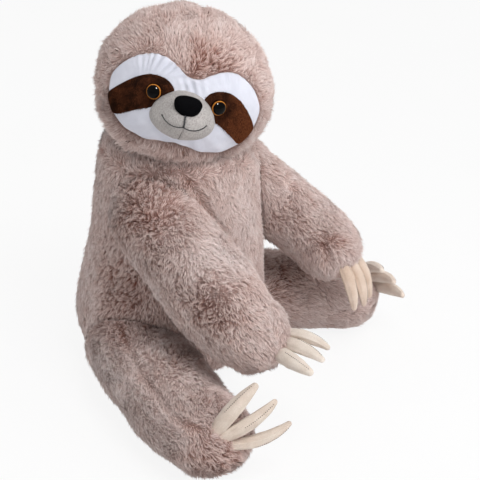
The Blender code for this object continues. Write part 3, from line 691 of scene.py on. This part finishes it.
HEAD_BACK = HEAD_FRAME.inverted()
HEAD_TURN = np.array(HEAD_FRAME.to_3x3())
HEAD_SEAM_DEPTH, SEAM_DEPTH, SEAM_HALF_WIDTH = 0.0035, 0.0025, 0.0045
SHOULDERS_FROM, SHOULDER_HEIGHT, NAPE_RISE = 0.262, 0.040, 0.012
NECK_AXIS = np.array((0, -0.012))
# Where stuffing rounds a skin out, or a seam draws it in: centre, radius, how far
FULLER = {
    "right_leg": (((-0.116, -0.006, 0.093), 0.034, 0.0065), ((-0.128, 0.030, 0.047), 0.035, -0.0040),
                  ((-0.190, -0.050, 0.040), 0.042, -0.0040), ((-0.148, -0.009, 0.025), 0.030, -0.0035),
                  ((-0.217, -0.160, 0.015), 0.028, -0.0045)),
    "left_arm": (((0.117, -0.071, 0.245), 0.022, -0.0045),),
    "body": (((-0.090, 0.063, 0.050), 0.035, 0.0045), ((-0.050, 0.070, 0.256), 0.035, -0.0020)),
    "head": (((0.018, -0.112, 0.340), 0.034, 0.0030), ((-0.074, 0.018, 0.314), 0.034, 0.0040)),
}
SEAMS = {
    "right_leg": (
        ((-0.122, -0.016, 0.094), (-0.151, -0.049, 0.092), (-0.182, -0.089, 0.086), (-0.194, -0.116, 0.082),
         (-0.210, -0.146, 0.076), (-0.217, -0.164, 0.074), (-0.216, -0.189, 0.073)),),
    "left_arm": (
        ((0.094, -0.100, 0.232), (0.097, -0.114, 0.219), (0.102, -0.123, 0.212), (0.107, -0.136, 0.202)),
        ((0.091, -0.155, 0.176), (0.091, -0.163, 0.173), (0.092, -0.171, 0.171)),
        ((0.083, -0.164, 0.163), (0.082, -0.171, 0.156), (0.080, -0.171, 0.143))),
    "body": (
        ((-0.070, -0.054, 0.300), (-0.067, -0.067, 0.281), (-0.062, -0.078, 0.264), (-0.055, -0.088, 0.242),
         (-0.041, -0.097, 0.220)),),
}
# Each skin's finest detail, and how many rounds smooth it
SKIN_FORMS = {"body": (0.0042, 6), "head": (0.0036, 6), "right_arm": (0.0036, 5), "left_arm": (0.0036, 5),
              "right_leg": (0.0036, 5), "left_leg": (0.0036, 5)}


def round_shoulders(item):
    """The body's flat top smoothed, drawn in towards the neck and raised at the nape."""
    group = item.vertex_groups.new(name="shoulders")
    for index, place in enumerate(vertices_of(item)):
        group.add([index], float(ease((place[2] - SHOULDERS_FROM) / 0.024)), "REPLACE")
    with_modifiers(item, ("SMOOTH", {"factor": 0.5, "iterations": 45, "vertex_group": "shoulders"}))
    item.vertex_groups.clear()
    points = vertices_of(item)
    height = np.clip((points[:, 2] - SHOULDERS_FROM) / SHOULDER_HEIGHT, 0, 1)
    drawn_in = (0.15 + 0.10 * ease((points[:, 1] + 0.03) / 0.06)) * (1 - np.sqrt(1 - height ** 2))
    points[:, :2] = NECK_AXIS + (points[:, :2] - NECK_AXIS) * (1 - drawn_in)[:, None]
    points[:, 2] += NAPE_RISE * ease((points[:, 1] + 0.005) / 0.055) * ease(height * 1.35)
    set_vertices(item, points)


def stuff(part, item):
    """Lumps of stuffing, seams that draw a skin in, and places where it is fuller."""
    points, normals = vertices_of(item), normals_of(item)
    lump = varied(points, -0.0008, 11, (0.0010, 0.075), (0.0005, 0.03)) * ease(points[:, 2] / 0.012)
    if part == "head":
        x, y, z = moved(HEAD_BACK, points).T
        seam = np.exp(-(x / SEAM_HALF_WIDTH) ** 2) * ease((z - 0.030) / 0.03) * ease((0.05 - y) / 0.02)
        lump -= HEAD_SEAM_DEPTH * seam
    if part in SEAMS:
        distance, _ = near_line(points, *SEAMS[part])
        lump -= SEAM_DEPTH * np.exp(-(distance / SEAM_HALF_WIDTH) ** 2)
    for centre, radius, rise in FULLER.get(part, ()):
        share = near_spot(points, centre, radius)
        if part == "head":
            share *= ease(past_outline(moved(HEAD_BACK, points)) / 0.015)
        lump += rise * share
    set_vertices(item, points + normals * lump[:, None])


SKINS = {part: skin_from(part, *form) for part, form in SKIN_FORMS.items()}
round_shoulders(SKINS["body"])
for part, item in SKINS.items():
    stuff(part, item)
TREES = {part: tree_of(item) for part, item in SKINS.items()}


def on_head(x, z, lift):
    """Points of the head's frame that stand lift over its front, from their sideways and upward places."""
    y = -HEAD_HALF[1] * np.sqrt(np.maximum(1 - (x / HEAD_HALF[0]) ** 2 - (z / HEAD_HALF[2]) ** 2, 0.01))
    places = np.stack([x, y, z], -1)
    return places + unit(places / HEAD_HALF ** 2) * np.asarray(lift)[..., None]


# The pile of the shoulders: from what height, over what height, and how strongly it leans inward and up
COLLAR_FROM, COLLAR_HEIGHT, COLLAR_INWARD, COLLAR_UP = SHOULDERS_FROM + 0.008, 0.022, 1.3, 1.1


def body_rule(places, normals):
    """The body's pile: combed down, and up and inward on the shoulders."""
    comb, stand, length, tone, gather = common_rule(places, (0.0, -0.10, -1.0), 100)
    comb, stand, length, tone = part_pile(places, comb, stand, length, tone, SEAMS["body"])
    collar = ease((places[:, 2] - COLLAR_FROM) / COLLAR_HEIGHT)
    inward = unit(np.pad(NECK_AXIS - places[:, :2], ((0, 0), (0, 1))))
    comb = comb + (inward * COLLAR_INWARD + np.array((0, 0, COLLAR_UP))) * collar[:, None]
    length = shorter_near(length, places, "body", least=0.60)
    return comb, stand, shorter_at_floor(length, places), tone, gather


# Sideways and upward places on the head
FOREHEAD_PARTING = ((-0.001, 0.024), (0.001, 0.045), (-0.003, 0.062), (0.0, 0.075), (0.0, 0.083))
FOREHEAD_PARTING_WIDTH = 0.016
# How far outside the face cloth's edge the pile starts, and how far back the pile round it leans
PILE_FROM, LEAN_BACK = 0.0004, 0.045
# The edge's own pile: how far out it reaches, its length, and how strongly it folds over the cloth
EDGE_REACH, EDGE_LENGTH, EDGE_FOLD = 0.012, 0.66, 1.35


def head_rule(places, normals):
    """The head's pile: away from the face and down at the back, parted on the forehead, folded over
    the face cloth's edge, and longer below the face."""
    local = moved(HEAD_BACK, places)
    past = past_outline(local)
    front = ease((0.055 - local[:, 1]) / 0.08)[:, None]
    out = unit(np.stack([local[:, 0], np.full(len(local), LEAN_BACK), local[:, 2] + FACE_DROP], 1))
    down = np.array(HEAD_BACK.to_3x3()) @ np.array((0, 0, -1.0))
    comb = (out * front + down * (1 - front)) @ HEAD_TURN.T
    comb, stand, length, tone, gather = common_rule(places, comb, 200)
    distance, away = near_line(local, on_head(*np.array(FOREHEAD_PARTING).T, 0.0))
    share = (1 - ease(distance / FOREHEAD_PARTING_WIDTH)) * (1 - 0.6 * ease((local[:, 2] - 0.050) / 0.015))
    comb = comb + (away @ HEAD_TURN.T) * (share * 1.2)[:, None]
    tone = tone - PARTING_SHADE * share
    edge = ease(past / EDGE_REACH)
    below = ease((-0.020 - local[:, 2]) / 0.02)
    comb = comb - (out @ HEAD_TURN.T) * (EDGE_FOLD * (1 - edge))[:, None]
    length = length * (EDGE_LENGTH + (1 - EDGE_LENGTH) * edge) * (1 + 0.50 * below)
    stand = stand + (0.30 + 0.12 * below) * (1 - edge)
    gather = gather + 0.25 * below * ease(1.6 - past / 0.02)
    length = np.where(past < PILE_FROM, 0, length)
    length = shorter_near(length, places, "head", least=0.85)
    return comb, np.clip(stand, 0.1, 0.95), length, tone, gather


LIMB_COMBS = {
    "right_arm": (-0.10, -0.75, -0.55), "left_arm": (0.15, -0.70, -0.60),
    "right_leg": (-0.45, -0.80, -0.25), "left_leg": (0.50, -0.75, -0.25),
}
# The pile round a claw's root: how far it reaches, how much shorter it is, and how much painted shade darkens
# it in the crease
ROOT_REACH, ROOT_SHORTER, ROOT_PAINTED_SHADE = 0.015, 0.35, 0.4


def limb_rule(part, seed):
    """A limb's pile: combed along the limb, and shorter, and darker with painted shade, at the claws' roots.
    """
    def rule(places, normals):
        comb, stand, length, tone, gather = common_rule(places, LIMB_COMBS[part], seed)
        if part in SEAMS:
            comb, stand, length, tone = part_pile(places, comb, stand, length, tone, SEAMS[part])
        for seat in np.array(CLAW_SEATS[part]):
            share = 1 - ease(np.linalg.norm(places - seat, axis=1) / ROOT_REACH)
            length = length * (1 - ROOT_SHORTER * share)
            # Painted shade in the crease round the claw's root
            tone = tone - ROOT_PAINTED_SHADE * share
        return comb, stand, shorter_at_floor(shorter_near(length, places, part), places), tone, gather
    return rule


SPACING = 0.0015
FIBRE_RADIUS = 0.00044
PILES = {}
for order, part in enumerate(SKINS):
    rule = {"body": body_rule, "head": head_rule}.get(part) or limb_rule(part, 300 + 20 * order)
    tones = rule(vertices_of(SKINS[part]), normals_of(SKINS[part]))[3]
    # The pile's tone on its backing, painted shade and painted light included
    layer = SKINS[part].data.attributes.new("tone", "FLOAT", "POINT")
    layer.data.foreach_set("value", np.clip(tones, 0, 1).astype(np.float32))
    PILES[part] = grow(f"{part}_pile", SKINS[part], SPACING, FIBRE_RADIUS, rule, PILE, 40 + order)
    PILES[part] += grow(f"{part}_underfur", SKINS[part], SPACING, FIBRE_RADIUS, rule, PILE, 140 + order,
                        shares=UNDERFUR_SHARES, most=UNDERFUR_HEIGHT)


# Face

# How far a sewn cloth's underside lies below the top sheet's turned edge
UNDERSIDE_DROP = 0.0012


def disc(name, outline, centre, rings, lift, taper, thickness, shape, finish):
    """A sewn cloth on the head: a sheet inside an outline, turned under at its edge, with an underside."""
    reach = np.linalg.norm(outline - centre, axis=1)
    under = lift - thickness - UNDERSIDE_DROP
    rows = [on_head(*centre, lift + shape(centre[None], np.ones(1))[0])[None]]
    for share in np.linspace(0, 1, rings + 1)[1:]:
        flat = centre + (outline - centre) * share
        inner = reach * (1 - share)
        rise = lift - thickness * (1 - np.sqrt(1 - (1 - np.clip(inner / taper, 0, 1)) ** 2))
        rows.append(on_head(*flat.T, rise + shape(flat, inner)))
    for share in (1.0, 0.5):
        rows.append(on_head(*(centre + (outline - centre) * share).T, under))
    rows.append(on_head(*centre, under)[None])
    faces = closed_faces(rings + 2, len(outline))
    made = piece(name, moved(HEAD_FRAME, np.concatenate(rows)), faces, finish)
    code = bmesh.new()
    code.from_mesh(made.data)
    bmesh.ops.recalc_face_normals(code, faces=code.faces)
    code.to_mesh(made.data)
    code.free()
    return made


# For each lobe of the face cloth: its side, and how deep its gathers are
GATHERS = ((-1, 0.00150), (1, 0.00060))


def panel_folds(flat, inner):
    """Gathers along the lobes' upper edges, folds over the bridge of the nose, and a draped lower edge."""
    x, z = flat.T
    gathers = np.zeros(len(flat))
    for sign, depth in GATHERS:
        round_lobe = np.arctan2(z + 0.006, x - sign * 0.050)
        place = round_lobe if sign < 0 else math.pi - round_lobe
        arc = np.exp(-((place - 1.25) / 0.75) ** 2) * ease((z + 0.004) / 0.012)
        wander = np.sin(place * 9 + sign) * 1.3
        gathers += np.sin(place * 34 + wander) * depth * arc * ease(1.3 - inner / 0.022)
    bridge = np.exp(-((x - 0.002) / 0.014) ** 2) * np.exp(-((z - 0.012) / 0.008) ** 2)
    folds = np.sin((x * 0.90 + z * 0.45) * 2 * math.pi / 0.0085 + 0.5) * 0.0012 * bridge
    angle = np.arctan2(z - OUTLINE_CENTRE[1], x)
    drape = np.sin(angle * 17 + 0.6) * 0.0005 * ease((-0.030 - z) / 0.018)
    return gathers + folds + drape


def no_folds(flat, inner):
    return np.zeros(len(flat))


PANEL = disc("face_panel_cloth", OUTLINE, OUTLINE_CENTRE, 64, PANEL_LIFT, 0.003, 0.0020, panel_folds,
             WHITE_CLOTH)
PATCHES, PATCH_PILES = {}, {}
for side, sign in SIDES.items():
    outline = curve_through(on_face(PATCH_SHARES, sign), 6, closed=True)
    PATCHES[side] = disc(f"{side}_eye_patch_cloth", outline, np.array((sign * 0.046, -0.0125)), 26,
                         PATCH_LIFT - 0.0008, 0.0025, 0.0010, no_folds, BROWN_PILE)
    used = vertices_of(PATCHES[side])[corner_points(PATCHES[side])]
    give_map(PATCHES[side], np.clip(0.3 + 0.2 * waves(used, 0.02, 5), 0.02, 0.98), np.full(len(used), 0.3))


def ball(rings, sides):
    """Points of a unit ball, ring by ring from its front to its back."""
    angle = math.pi * np.arange(1, rings)[:, None] / rings
    turn = turn_round(sides)
    wide, ahead = np.sin(angle), -np.cos(angle)
    rows = np.stack([wide * np.cos(turn), ahead * np.ones(sides), wide * np.sin(turn)], 2)
    return np.concatenate([[(0, -1.0, 0)], rows.reshape(-1, 3), [(0, 1.0, 0)]])


CHIN_SEAM_DEPTH, LIP_DEPTH = 0.0012, 0.0006


def muzzle_piece():
    """The stuffed muzzle, with its chin seam and the groove that the upright stitching presses into it."""
    rings, sides = 72, 96
    shape = ball(rings, sides)
    _, y, z = shape.T
    points = shape * MUZZLE_HALF
    points[:, 0] *= 1 - MUZZLE_TAPER * z
    seam = np.exp(-(points[:, 0] / 0.0011) ** 2) * ease((-z - 0.30) / 0.15) * ease(-y / 0.3)
    lips = np.exp(-(points[:, 0] / 0.0016) ** 2) * ease((z + 0.45) / 0.2) * ease((0.35 - z) / 0.2) * (y < 0)
    lumps = waves(points, 0.022, 31) * 0.00035 - CHIN_SEAM_DEPTH * seam - LIP_DEPTH * lips
    points += unit(shape / MUZZLE_HALF) * lumps[:, None] + MUZZLE_CENTRE
    faces = closed_faces(rings - 1, sides, turned=True)
    return piece("muzzle_suede", moved(HEAD_FRAME, points), faces, SUEDE)


NOSE_SQUARENESS, NOSE_FLARE = 2.4, 0.16


def nose_piece():
    """The padded nose: a ball that is squared off a little and wider at its top."""
    rings, sides = 40, 64
    shape = ball(rings, sides)
    points = shape / (np.abs(shape) ** NOSE_SQUARENESS).sum(1, keepdims=True) ** (1 / NOSE_SQUARENESS)
    points[:, 0] *= 1 + NOSE_FLARE * shape[:, 2]
    points = points * NOSE_HALF + NOSE_CENTRE
    points += shape * (waves(points, 0.008, 33) * 0.00020)[:, None]
    return piece("nose_pad", moved(HEAD_FRAME, points), closed_faces(rings - 1, sides, turned=True), VELOUR)


MUZZLE, NOSE = muzzle_piece(), nose_piece()


def on_muzzle(x_share, z_share, height):
    """A place height over the muzzle's front, from shares of its half width and half height."""
    y_share = -math.sqrt(max(0.0, 1 - x_share ** 2 - z_share ** 2))
    share = np.array((x_share, y_share, z_share))
    place = share * MUZZLE_HALF
    place[0] *= 1 - MUZZLE_TAPER * z_share
    return place + unit(share / MUZZLE_HALF) * height + MUZZLE_CENTRE


# A stitch: shares of its length and of its radius
SPINDLE = ((0.0, 0.35), (0.18, 0.9), (0.5, 1.0), (0.82, 0.9), (1.0, 0.35))
STITCH_SIDES = 8


def stitches(name, line, radius, length, gap, finish, matrix):
    """A row of short thread stitches, each a closed spindle, along a line of points."""
    line = np.array(line)
    marks = np.append(0, np.cumsum(np.linalg.norm(np.diff(line, axis=0), axis=1)))
    count = max(1, int((marks[-1] + gap) / (length + gap)))
    pitch = marks[-1] / count
    levels, widths = np.array(SPINDLE).T
    spots = (np.arange(count) * pitch + gap / 2)[:, None] + (pitch - gap) * levels
    centres = np.stack([np.interp(spots, marks, line[:, axis]) for axis in range(3)], 2)
    ahead = unit(centres[:, -1] - centres[:, 0])
    across = unit(np.cross(ahead, (0.3, 1.0, 0.2)))
    over = np.cross(ahead, across)
    turn = turn_round(STITCH_SIDES)[:, None]
    out = across[:, None] * np.cos(turn) + over[:, None] * np.sin(turn)
    points = centres[:, :, None] + out[:, None] * (radius * widths)[:, None, None]
    top, per = STITCH_SIDES * (len(levels) - 1), STITCH_SIDES * len(levels)
    ends = []
    for side in range(1, STITCH_SIDES - 1):
        ends += [(0, side + 1, side), (top, top + side, top + side + 1)]
    faces = [repeated(bands(len(levels), STITCH_SIDES), count, per), repeated(ends, count, per)]
    return piece(name, moved(matrix, points.reshape(-1, 3)), faces, finish)


SMILE = ((-1.00, -0.04), (-0.78, -0.21), (-0.50, -0.32), (-0.22, -0.33), (0.00, -0.28),
         (0.22, -0.33), (0.50, -0.32), (0.78, -0.21), (1.00, -0.04))
UPRIGHT_LINE = ((-0.03, 0.20), (-0.02, 0.06), (0.0, -0.1), (0.0, -0.2), (0.0, -0.28))
CHIN_LINE = tuple((0.0, z) for z in (-0.50, -0.62, -0.74, -0.85, -0.93))
SMILE_HALF_WIDTH = 0.0245


def face_stitches(name, line, height, radius, length, gap, finish):
    """Stitches along a line of shares of the muzzle's half width and half height."""
    points = curve_through([on_muzzle(x, z, height) for x, z in line])
    return stitches(name, points, radius, length, gap, finish, HEAD_FRAME)


MOUTH = face_stitches("smile_stitching", [(x * SMILE_HALF_WIDTH / MUZZLE_HALF[0], z) for x, z in SMILE],
                      0.0005, 0.00065, 0.0030, -0.0004, BLACK_THREAD)
UPRIGHT = face_stitches("upright_stitching", UPRIGHT_LINE, 0.0004, 0.00110, 0.0028, -0.0003, BLACK_THREAD)
CHIN = face_stitches("chin_seam_stitching", CHIN_LINE, 0.0002, 0.00045, 0.0014, 0.0011, SEAM_THREAD)

EYE_LIFT, RIM_EDGE, RIM_DEPTH = PATCH_LIFT + 0.0003, 0.0008, 0.0012
SHANK_RADIUS, SHANK_LENGTH = 0.0024, 0.0170


def eye_frame(side, lift):
    """A frame on the face, lift over the head's form, with +Z out of the eye."""
    spot = SIDES[side] * EYE_SPREAD[side], -EYE_DROP
    outward = Vector(on_head(*spot, 0.0) / HEAD_HALF ** 2).normalized()
    return (HEAD_FRAME @ Matrix.Translation(on_head(*spot, lift))
            @ outward.to_track_quat("Z", "Y").to_matrix().to_4x4())


def eye_piece(side):
    """A domed eye with its shank, turned round its own +Z, and its print mapped over it."""
    sides = 64
    profile = [(EYE_RADIUS * math.sin(angle), EYE_DOME * math.cos(angle))
               for angle in np.linspace(0, math.pi / 2, 22)[1:]]
    profile += [(EYE_RADIUS, -RIM_EDGE), (EYE_RADIUS * 0.9, -RIM_DEPTH), (SHANK_RADIUS, -RIM_DEPTH),
                (SHANK_RADIUS, -SHANK_LENGTH)]
    turn = turn_round(sides)
    rings = [np.stack([radius * np.cos(turn), radius * np.sin(turn), np.full(sides, height)], 1)
             for radius, height in profile]
    points = np.concatenate([[(0, 0, EYE_DOME)], *rings, [(0, 0, -SHANK_LENGTH)]])
    made = piece(f"{side}_eye_dome", moved(eye_frame(side, EYE_LIFT), points),
                 closed_faces(len(rings), sides, turned=True), EYE_PRINT)
    x, y, _ = points[corner_points(made)].T
    give_map(made, np.clip(np.arctan2(y, x) / (2 * math.pi) + 0.5, 0.002, 0.998),
             np.clip(np.hypot(x, y) / EYE_RADIUS, 0.002, 0.998))
    return made


EYES = {side: eye_piece(side) for side in SIDES}

PATCH_LENGTH, PATCH_STAND, PATCH_CLUMPING = 0.0024, 0.45, 0.4
# How much painted light makes a patch paler towards its outer end, strongest on the left patch, where the
# lamps fall
PATCH_PAINTED_LIGHT = {"right": 0.02, "left": 1.0}


def patch_rule(side):
    """A patch's short pile: combed down and outward, with none at the eye, at the muzzle or underneath."""
    sign = SIDES[side]

    def rule(places, normals):
        local = moved(HEAD_BACK, places)
        comb = np.array((0.5 * sign, 0.1, -0.8)) + drift(places, 0.02, 500) * 0.4
        eye = on_head(sign * EYE_SPREAD[side], -EYE_DROP, 0.004)
        distance = np.linalg.norm(local - eye, axis=1)
        length = PATCH_LENGTH * ease((distance - 0.0075) / 0.003)
        muzzle = (((local - MUZZLE_CENTRE) / (MUZZLE_HALF + 0.0005)) ** 2).sum(1)
        length = np.where(muzzle < 1, 0, length)
        length = np.where(normals @ (HEAD_TURN @ np.array((0, -1.0, 0))) < 0.50, 0, length)
        # Painted light on the patch's outer end
        tone = 0.28 + 0.22 * waves(places, 0.012, 510) + PATCH_PAINTED_LIGHT[side] * ease((distance - 0.012) / 0.03)
        whole = np.ones(len(local))
        return comb @ HEAD_TURN.T, whole * PATCH_STAND, length, tone, whole * PATCH_CLUMPING
    return rule


PATCH_SPACING = 0.00075
for side, sign in SIDES.items():
    PATCH_PILES[side] = grow(f"{side}_eye_patch_pile", PATCHES[side], PATCH_SPACING, 0.00025,
                             patch_rule(side), BROWN_PILE, 70 + sign, clump=0.003)


# Claws

CLAW_CURL, CLAW_ROOT_DEPTH = math.radians(38), 0.009
CLAW_HALF_WIDTH, CLAW_HALF_THICKNESS, CLAW_TIP, CLAW_ROOT = 0.0084, 0.0073, 0.45, 0.90
CLAW_TIP_REACH = CLAW_HALF_THICKNESS * CLAW_TIP * 1.15
# Share of a claw's length where it is thickest
CLAW_FULLEST = 0.4
STITCH_TURN = math.radians(-28)
ACROSS = np.array((1.0, 0, 0))


def claw_line(length, share):
    """Centre and direction of a claw that lies along +Y and curls towards -Z."""
    angle = CLAW_CURL * (share - 0.5)
    turn_radius = length / CLAW_CURL
    centre = np.array((0, turn_radius * (math.sin(angle) + math.sin(CLAW_CURL / 2)) - CLAW_ROOT_DEPTH,
                       turn_radius * (math.cos(angle) - math.cos(CLAW_CURL / 2))))
    return centre, np.array((0, math.cos(angle), -math.sin(angle)))


def claw_size(share):
    if share < CLAW_FULLEST:
        return CLAW_ROOT + (1 - CLAW_ROOT) * float(ease(share / CLAW_FULLEST))
    return 1 + (CLAW_TIP - 1) * ((share - CLAW_FULLEST) / (1 - CLAW_FULLEST)) ** 2


def claw_piece(name, length, matrix, seed, finish):
    """A stuffed felt claw with a pressed seam along each edge."""
    sides, rings = 48, 44
    turn = turn_round(sides)
    from_edge = np.minimum(turn % math.pi, math.pi - turn % math.pi)
    seam = 1 + 0.10 * np.exp(-(from_edge / 0.16) ** 2) - 0.05 * np.exp(-((from_edge - 0.42) / 0.2) ** 2)
    stations = [(share, claw_size(share), 0) for share in np.linspace(0, 1, rings)]
    stations += [(1.0, CLAW_TIP * math.cos(angle), CLAW_TIP_REACH * math.sin(angle))
                 for angle in (0.35, 0.7, 1.0, 1.25, 1.45)]
    rows = [claw_line(length, 0.0)[0][None]]
    for share, size, reach in stations:
        centre, ahead = claw_line(length, share)
        rows.append(centre + ahead * reach + np.outer(np.cos(turn) * seam * CLAW_HALF_WIDTH * size, ACROSS)
                    + np.outer(np.sin(turn) * CLAW_HALF_THICKNESS * size, np.cross(ACROSS, ahead)))
    centre, ahead = claw_line(length, 1.0)
    points = np.concatenate([*rows, (centre + ahead * CLAW_TIP_REACH)[None]])
    middle = claw_line(length, 0.5)[0]
    points += unit(points - middle) * (waves(points + seed, 0.012, 61) * 0.00025)[:, None]
    return piece(name, moved(matrix, points), closed_faces(len(stations), sides), finish)


def claw_stitches(name, length, matrix):
    """Stitches along a claw's upper side, near its edge."""
    line = []
    for share in np.linspace(CLAW_FULLEST, 0.97, 24):
        centre, ahead = claw_line(length, share)
        out = (np.cross(ACROSS, ahead) * CLAW_HALF_THICKNESS * math.cos(STITCH_TURN)
               + ACROSS * CLAW_HALF_WIDTH * math.sin(STITCH_TURN))
        line.append(centre + out * claw_size(share) * 0.99)
    return stitches(name, line, 0.00062, 0.0011, 0.0014, CLAW_THREAD, matrix)


CLAWS = {}
for paw, (point, row, fan, twist, seats) in PAWS.items():
    point, row = Vector(point), Vector(row)
    place = Matrix((row, point, row.cross(point))).transposed().to_4x4()
    length = CLAW_LENGTHS[paw.split("_")[1]]
    for index, label in enumerate(CLAW_NAMES):
        stand = (place @ Matrix.Rotation(-math.radians(fan) * (index - 1), 4, "Z")
                 @ Matrix.Rotation(math.radians(twist) * (index - 1), 4, "Y"))
        stand.translation = Vector(seats[index])
        node_name = f"{paw}_claw_{label}"
        claw = claw_piece(f"{node_name}_felt", length, stand, index * 0.1, FELTS[paw])
        seam = claw_stitches(f"{node_name}_stitches", length, stand)
        CLAWS[node_name] = (claw, seam, f"{paw}_claws")


# What rides on which body; the limbs' skins and pile stay in place, on no body

# Where each limb's plush leaves the torso, and where it is all on its limb
JOINS = {
    "right_arm": ((-0.083, -0.030, 0.238), (-0.100, -0.090, 0.200)),
    "left_arm": ((0.083, -0.030, 0.238), (0.102, -0.080, 0.205)),
    "right_leg": ((-0.085, -0.005, 0.050), (-0.118, -0.060, 0.050)),
    "left_leg": ((0.085, 0.010, 0.050), (0.120, -0.045, 0.050)),
}
for part, skin in SKINS.items():
    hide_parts(part)
    for item in [skin, *PILES[part]]:
        if part in JOINS:
            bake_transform(item)
        else:
            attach(item, "head" if part == "head" else "torso")

# Each other item, the body that it rides on, its slot and the CAD piece that it replaces
RIDERS = [
    (PANEL, "head", "white_cloth", "face_panel"), (MUZZLE, "head", "suede", "muzzle"),
    (NOSE, "head", "black_velour", "nose"), (MOUTH, "head", "thread", "mouth_stitching"),
    (UPRIGHT, "head", "thread", None), (CHIN, "head", "thread", None),
]
for side in SIDES:
    RIDERS.append((PATCHES[side], "head", "brown_cloth", f"{side}_eye_patch"))
    RIDERS += [(pile, "head", "brown_cloth", None) for pile in PATCH_PILES[side]]
    RIDERS.append((EYES[side], "head", "eye_plastic", f"{side}_eye"))
    for slot in nodes[f"{side}_eye_washer"].material_slots:
        slot.material = WASHER_PLASTIC
for node_name, (claw, seam, body) in CLAWS.items():
    RIDERS += [(claw, body, "felt", node_name), (seam, body, "thread", None)]
for item, body, slot_name, replaced in RIDERS:
    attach(item, body)
    if replaced:
        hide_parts(replaced)


# Stage, lamps and camera

FLOOR_HALF, FLOOR_DROP, FLOOR_GLOW = 6.0, 0.0006, 0.88
LAMP_AIM = Vector((0, 0, 0.2))


def where_seen(tree, seen, elsewhere):
    """A number that has one value for the camera's own rays and another for all others."""
    path = node(tree, "ShaderNodeLightPath").outputs["Is Camera Ray"]
    return feed(node(tree, "ShaderNodeMapRange"), Value=path, To_Min=elsewhere, To_Max=seen).outputs[0]


def floor():
    """A pale floor that looks nearly white, and lights the sloth as a matt sheet."""
    made, tree, shader = material("pale_floor")
    shade = ramp(tree, noise_of(tree, 6, 3), ((0.3, (0.86, 0.86, 0.86)), (0.7, (0.90, 0.90, 0.90))))
    feed(shader, Base_Color=shade, Roughness=0.9, Specular_IOR_Level=0.1)
    glow = feed(node(tree, "ShaderNodeEmission"), Color=(*WHITE, 1), Strength=1.0)
    mix = node(tree, "ShaderNodeMixShader")
    sources = (where_seen(tree, FLOOR_GLOW, 0.0), shader.outputs[0], glow.outputs[0])
    for source, socket in zip(sources, mix.inputs):
        tree.links.new(source, socket)
    feed(tree.nodes["Material Output"], Surface=mix.outputs[0])
    corners = [(x * FLOOR_HALF, y * FLOOR_HALF, -FLOOR_DROP) for x, y in ((-1, -1), (1, -1), (1, 1), (-1, 1))]
    piece("floor", np.array(corners), [np.array([[0, 1, 2, 3]])], made)


def studio(seen, lights):
    """A white world, and how strong it is where the camera sees it and where it lights."""
    world = bpy.data.worlds.new("studio")
    bpy.context.scene.world = world
    world.use_nodes = True
    tree = world.node_tree
    feed(tree.nodes["Background"], Color=(*WHITE, 1), Strength=where_seen(tree, seen, lights))


def place_camera():
    back = CAMERA_RIGHT.cross(CAMERA_UP)
    look = (AIM_RIGHT * CAMERA_RIGHT + AIM_UP * CAMERA_UP - back).normalized()
    side_way = look.cross(CAMERA_UP).normalized()
    data = bpy.data.cameras.new("camera")
    data.sensor_width = SENSOR_WIDTH
    data.lens = SENSOR_WIDTH / 2 / math.tan(FIELD_OF_VIEW / 2)
    data.clip_start, data.clip_end = 0.05, 50
    camera = placed("camera", data)
    turn = Matrix((side_way, side_way.cross(look), -look)).transposed().to_4x4()
    camera.matrix_world = Matrix.Translation(CAMERA_PLACE) @ turn
    bpy.context.scene.camera = camera


def lamp(name, backward, right, up, distance, size, share, lights=True):
    """A soft square lamp in a direction of the camera's frame. It adds this share of plain light, or,
    where it doesn't light, is only seen in gloss."""
    data = bpy.data.lights.new(name, "AREA")
    data.shape = "SQUARE"
    data.size = size
    data.energy = share * math.pi ** 2 * distance ** 2
    made = placed(name, data)
    direction = CAMERA_RIGHT.cross(CAMERA_UP) * backward + CAMERA_RIGHT * right + CAMERA_UP * up
    direction = direction.normalized()
    made.location = LAMP_AIM + direction * distance
    made.rotation_mode = "QUATERNION"
    made.rotation_quaternion = direction.to_track_quat("Z", "Y")
    made.visible_diffuse = lights
    made.visible_glossy = not lights


floor()
studio(seen=1.0, lights=0.59)
place_camera()
lamp("key", 0.80, 0.25, 0.52, 1.9, 0.8, 0.40)
lamp("side", 0.65, 0.76, 0.20, 1.9, 1.0, 0.24)
lamp("fill", 0.8, 0.1, -0.5, 2.2, 1.4, 0.08)
lamp("catchlight", 0.87, 0.13, 0.45, 1.9, 0.26, 2.4, lights=False)
bpy.context.scene.view_settings.view_transform = "Standard"
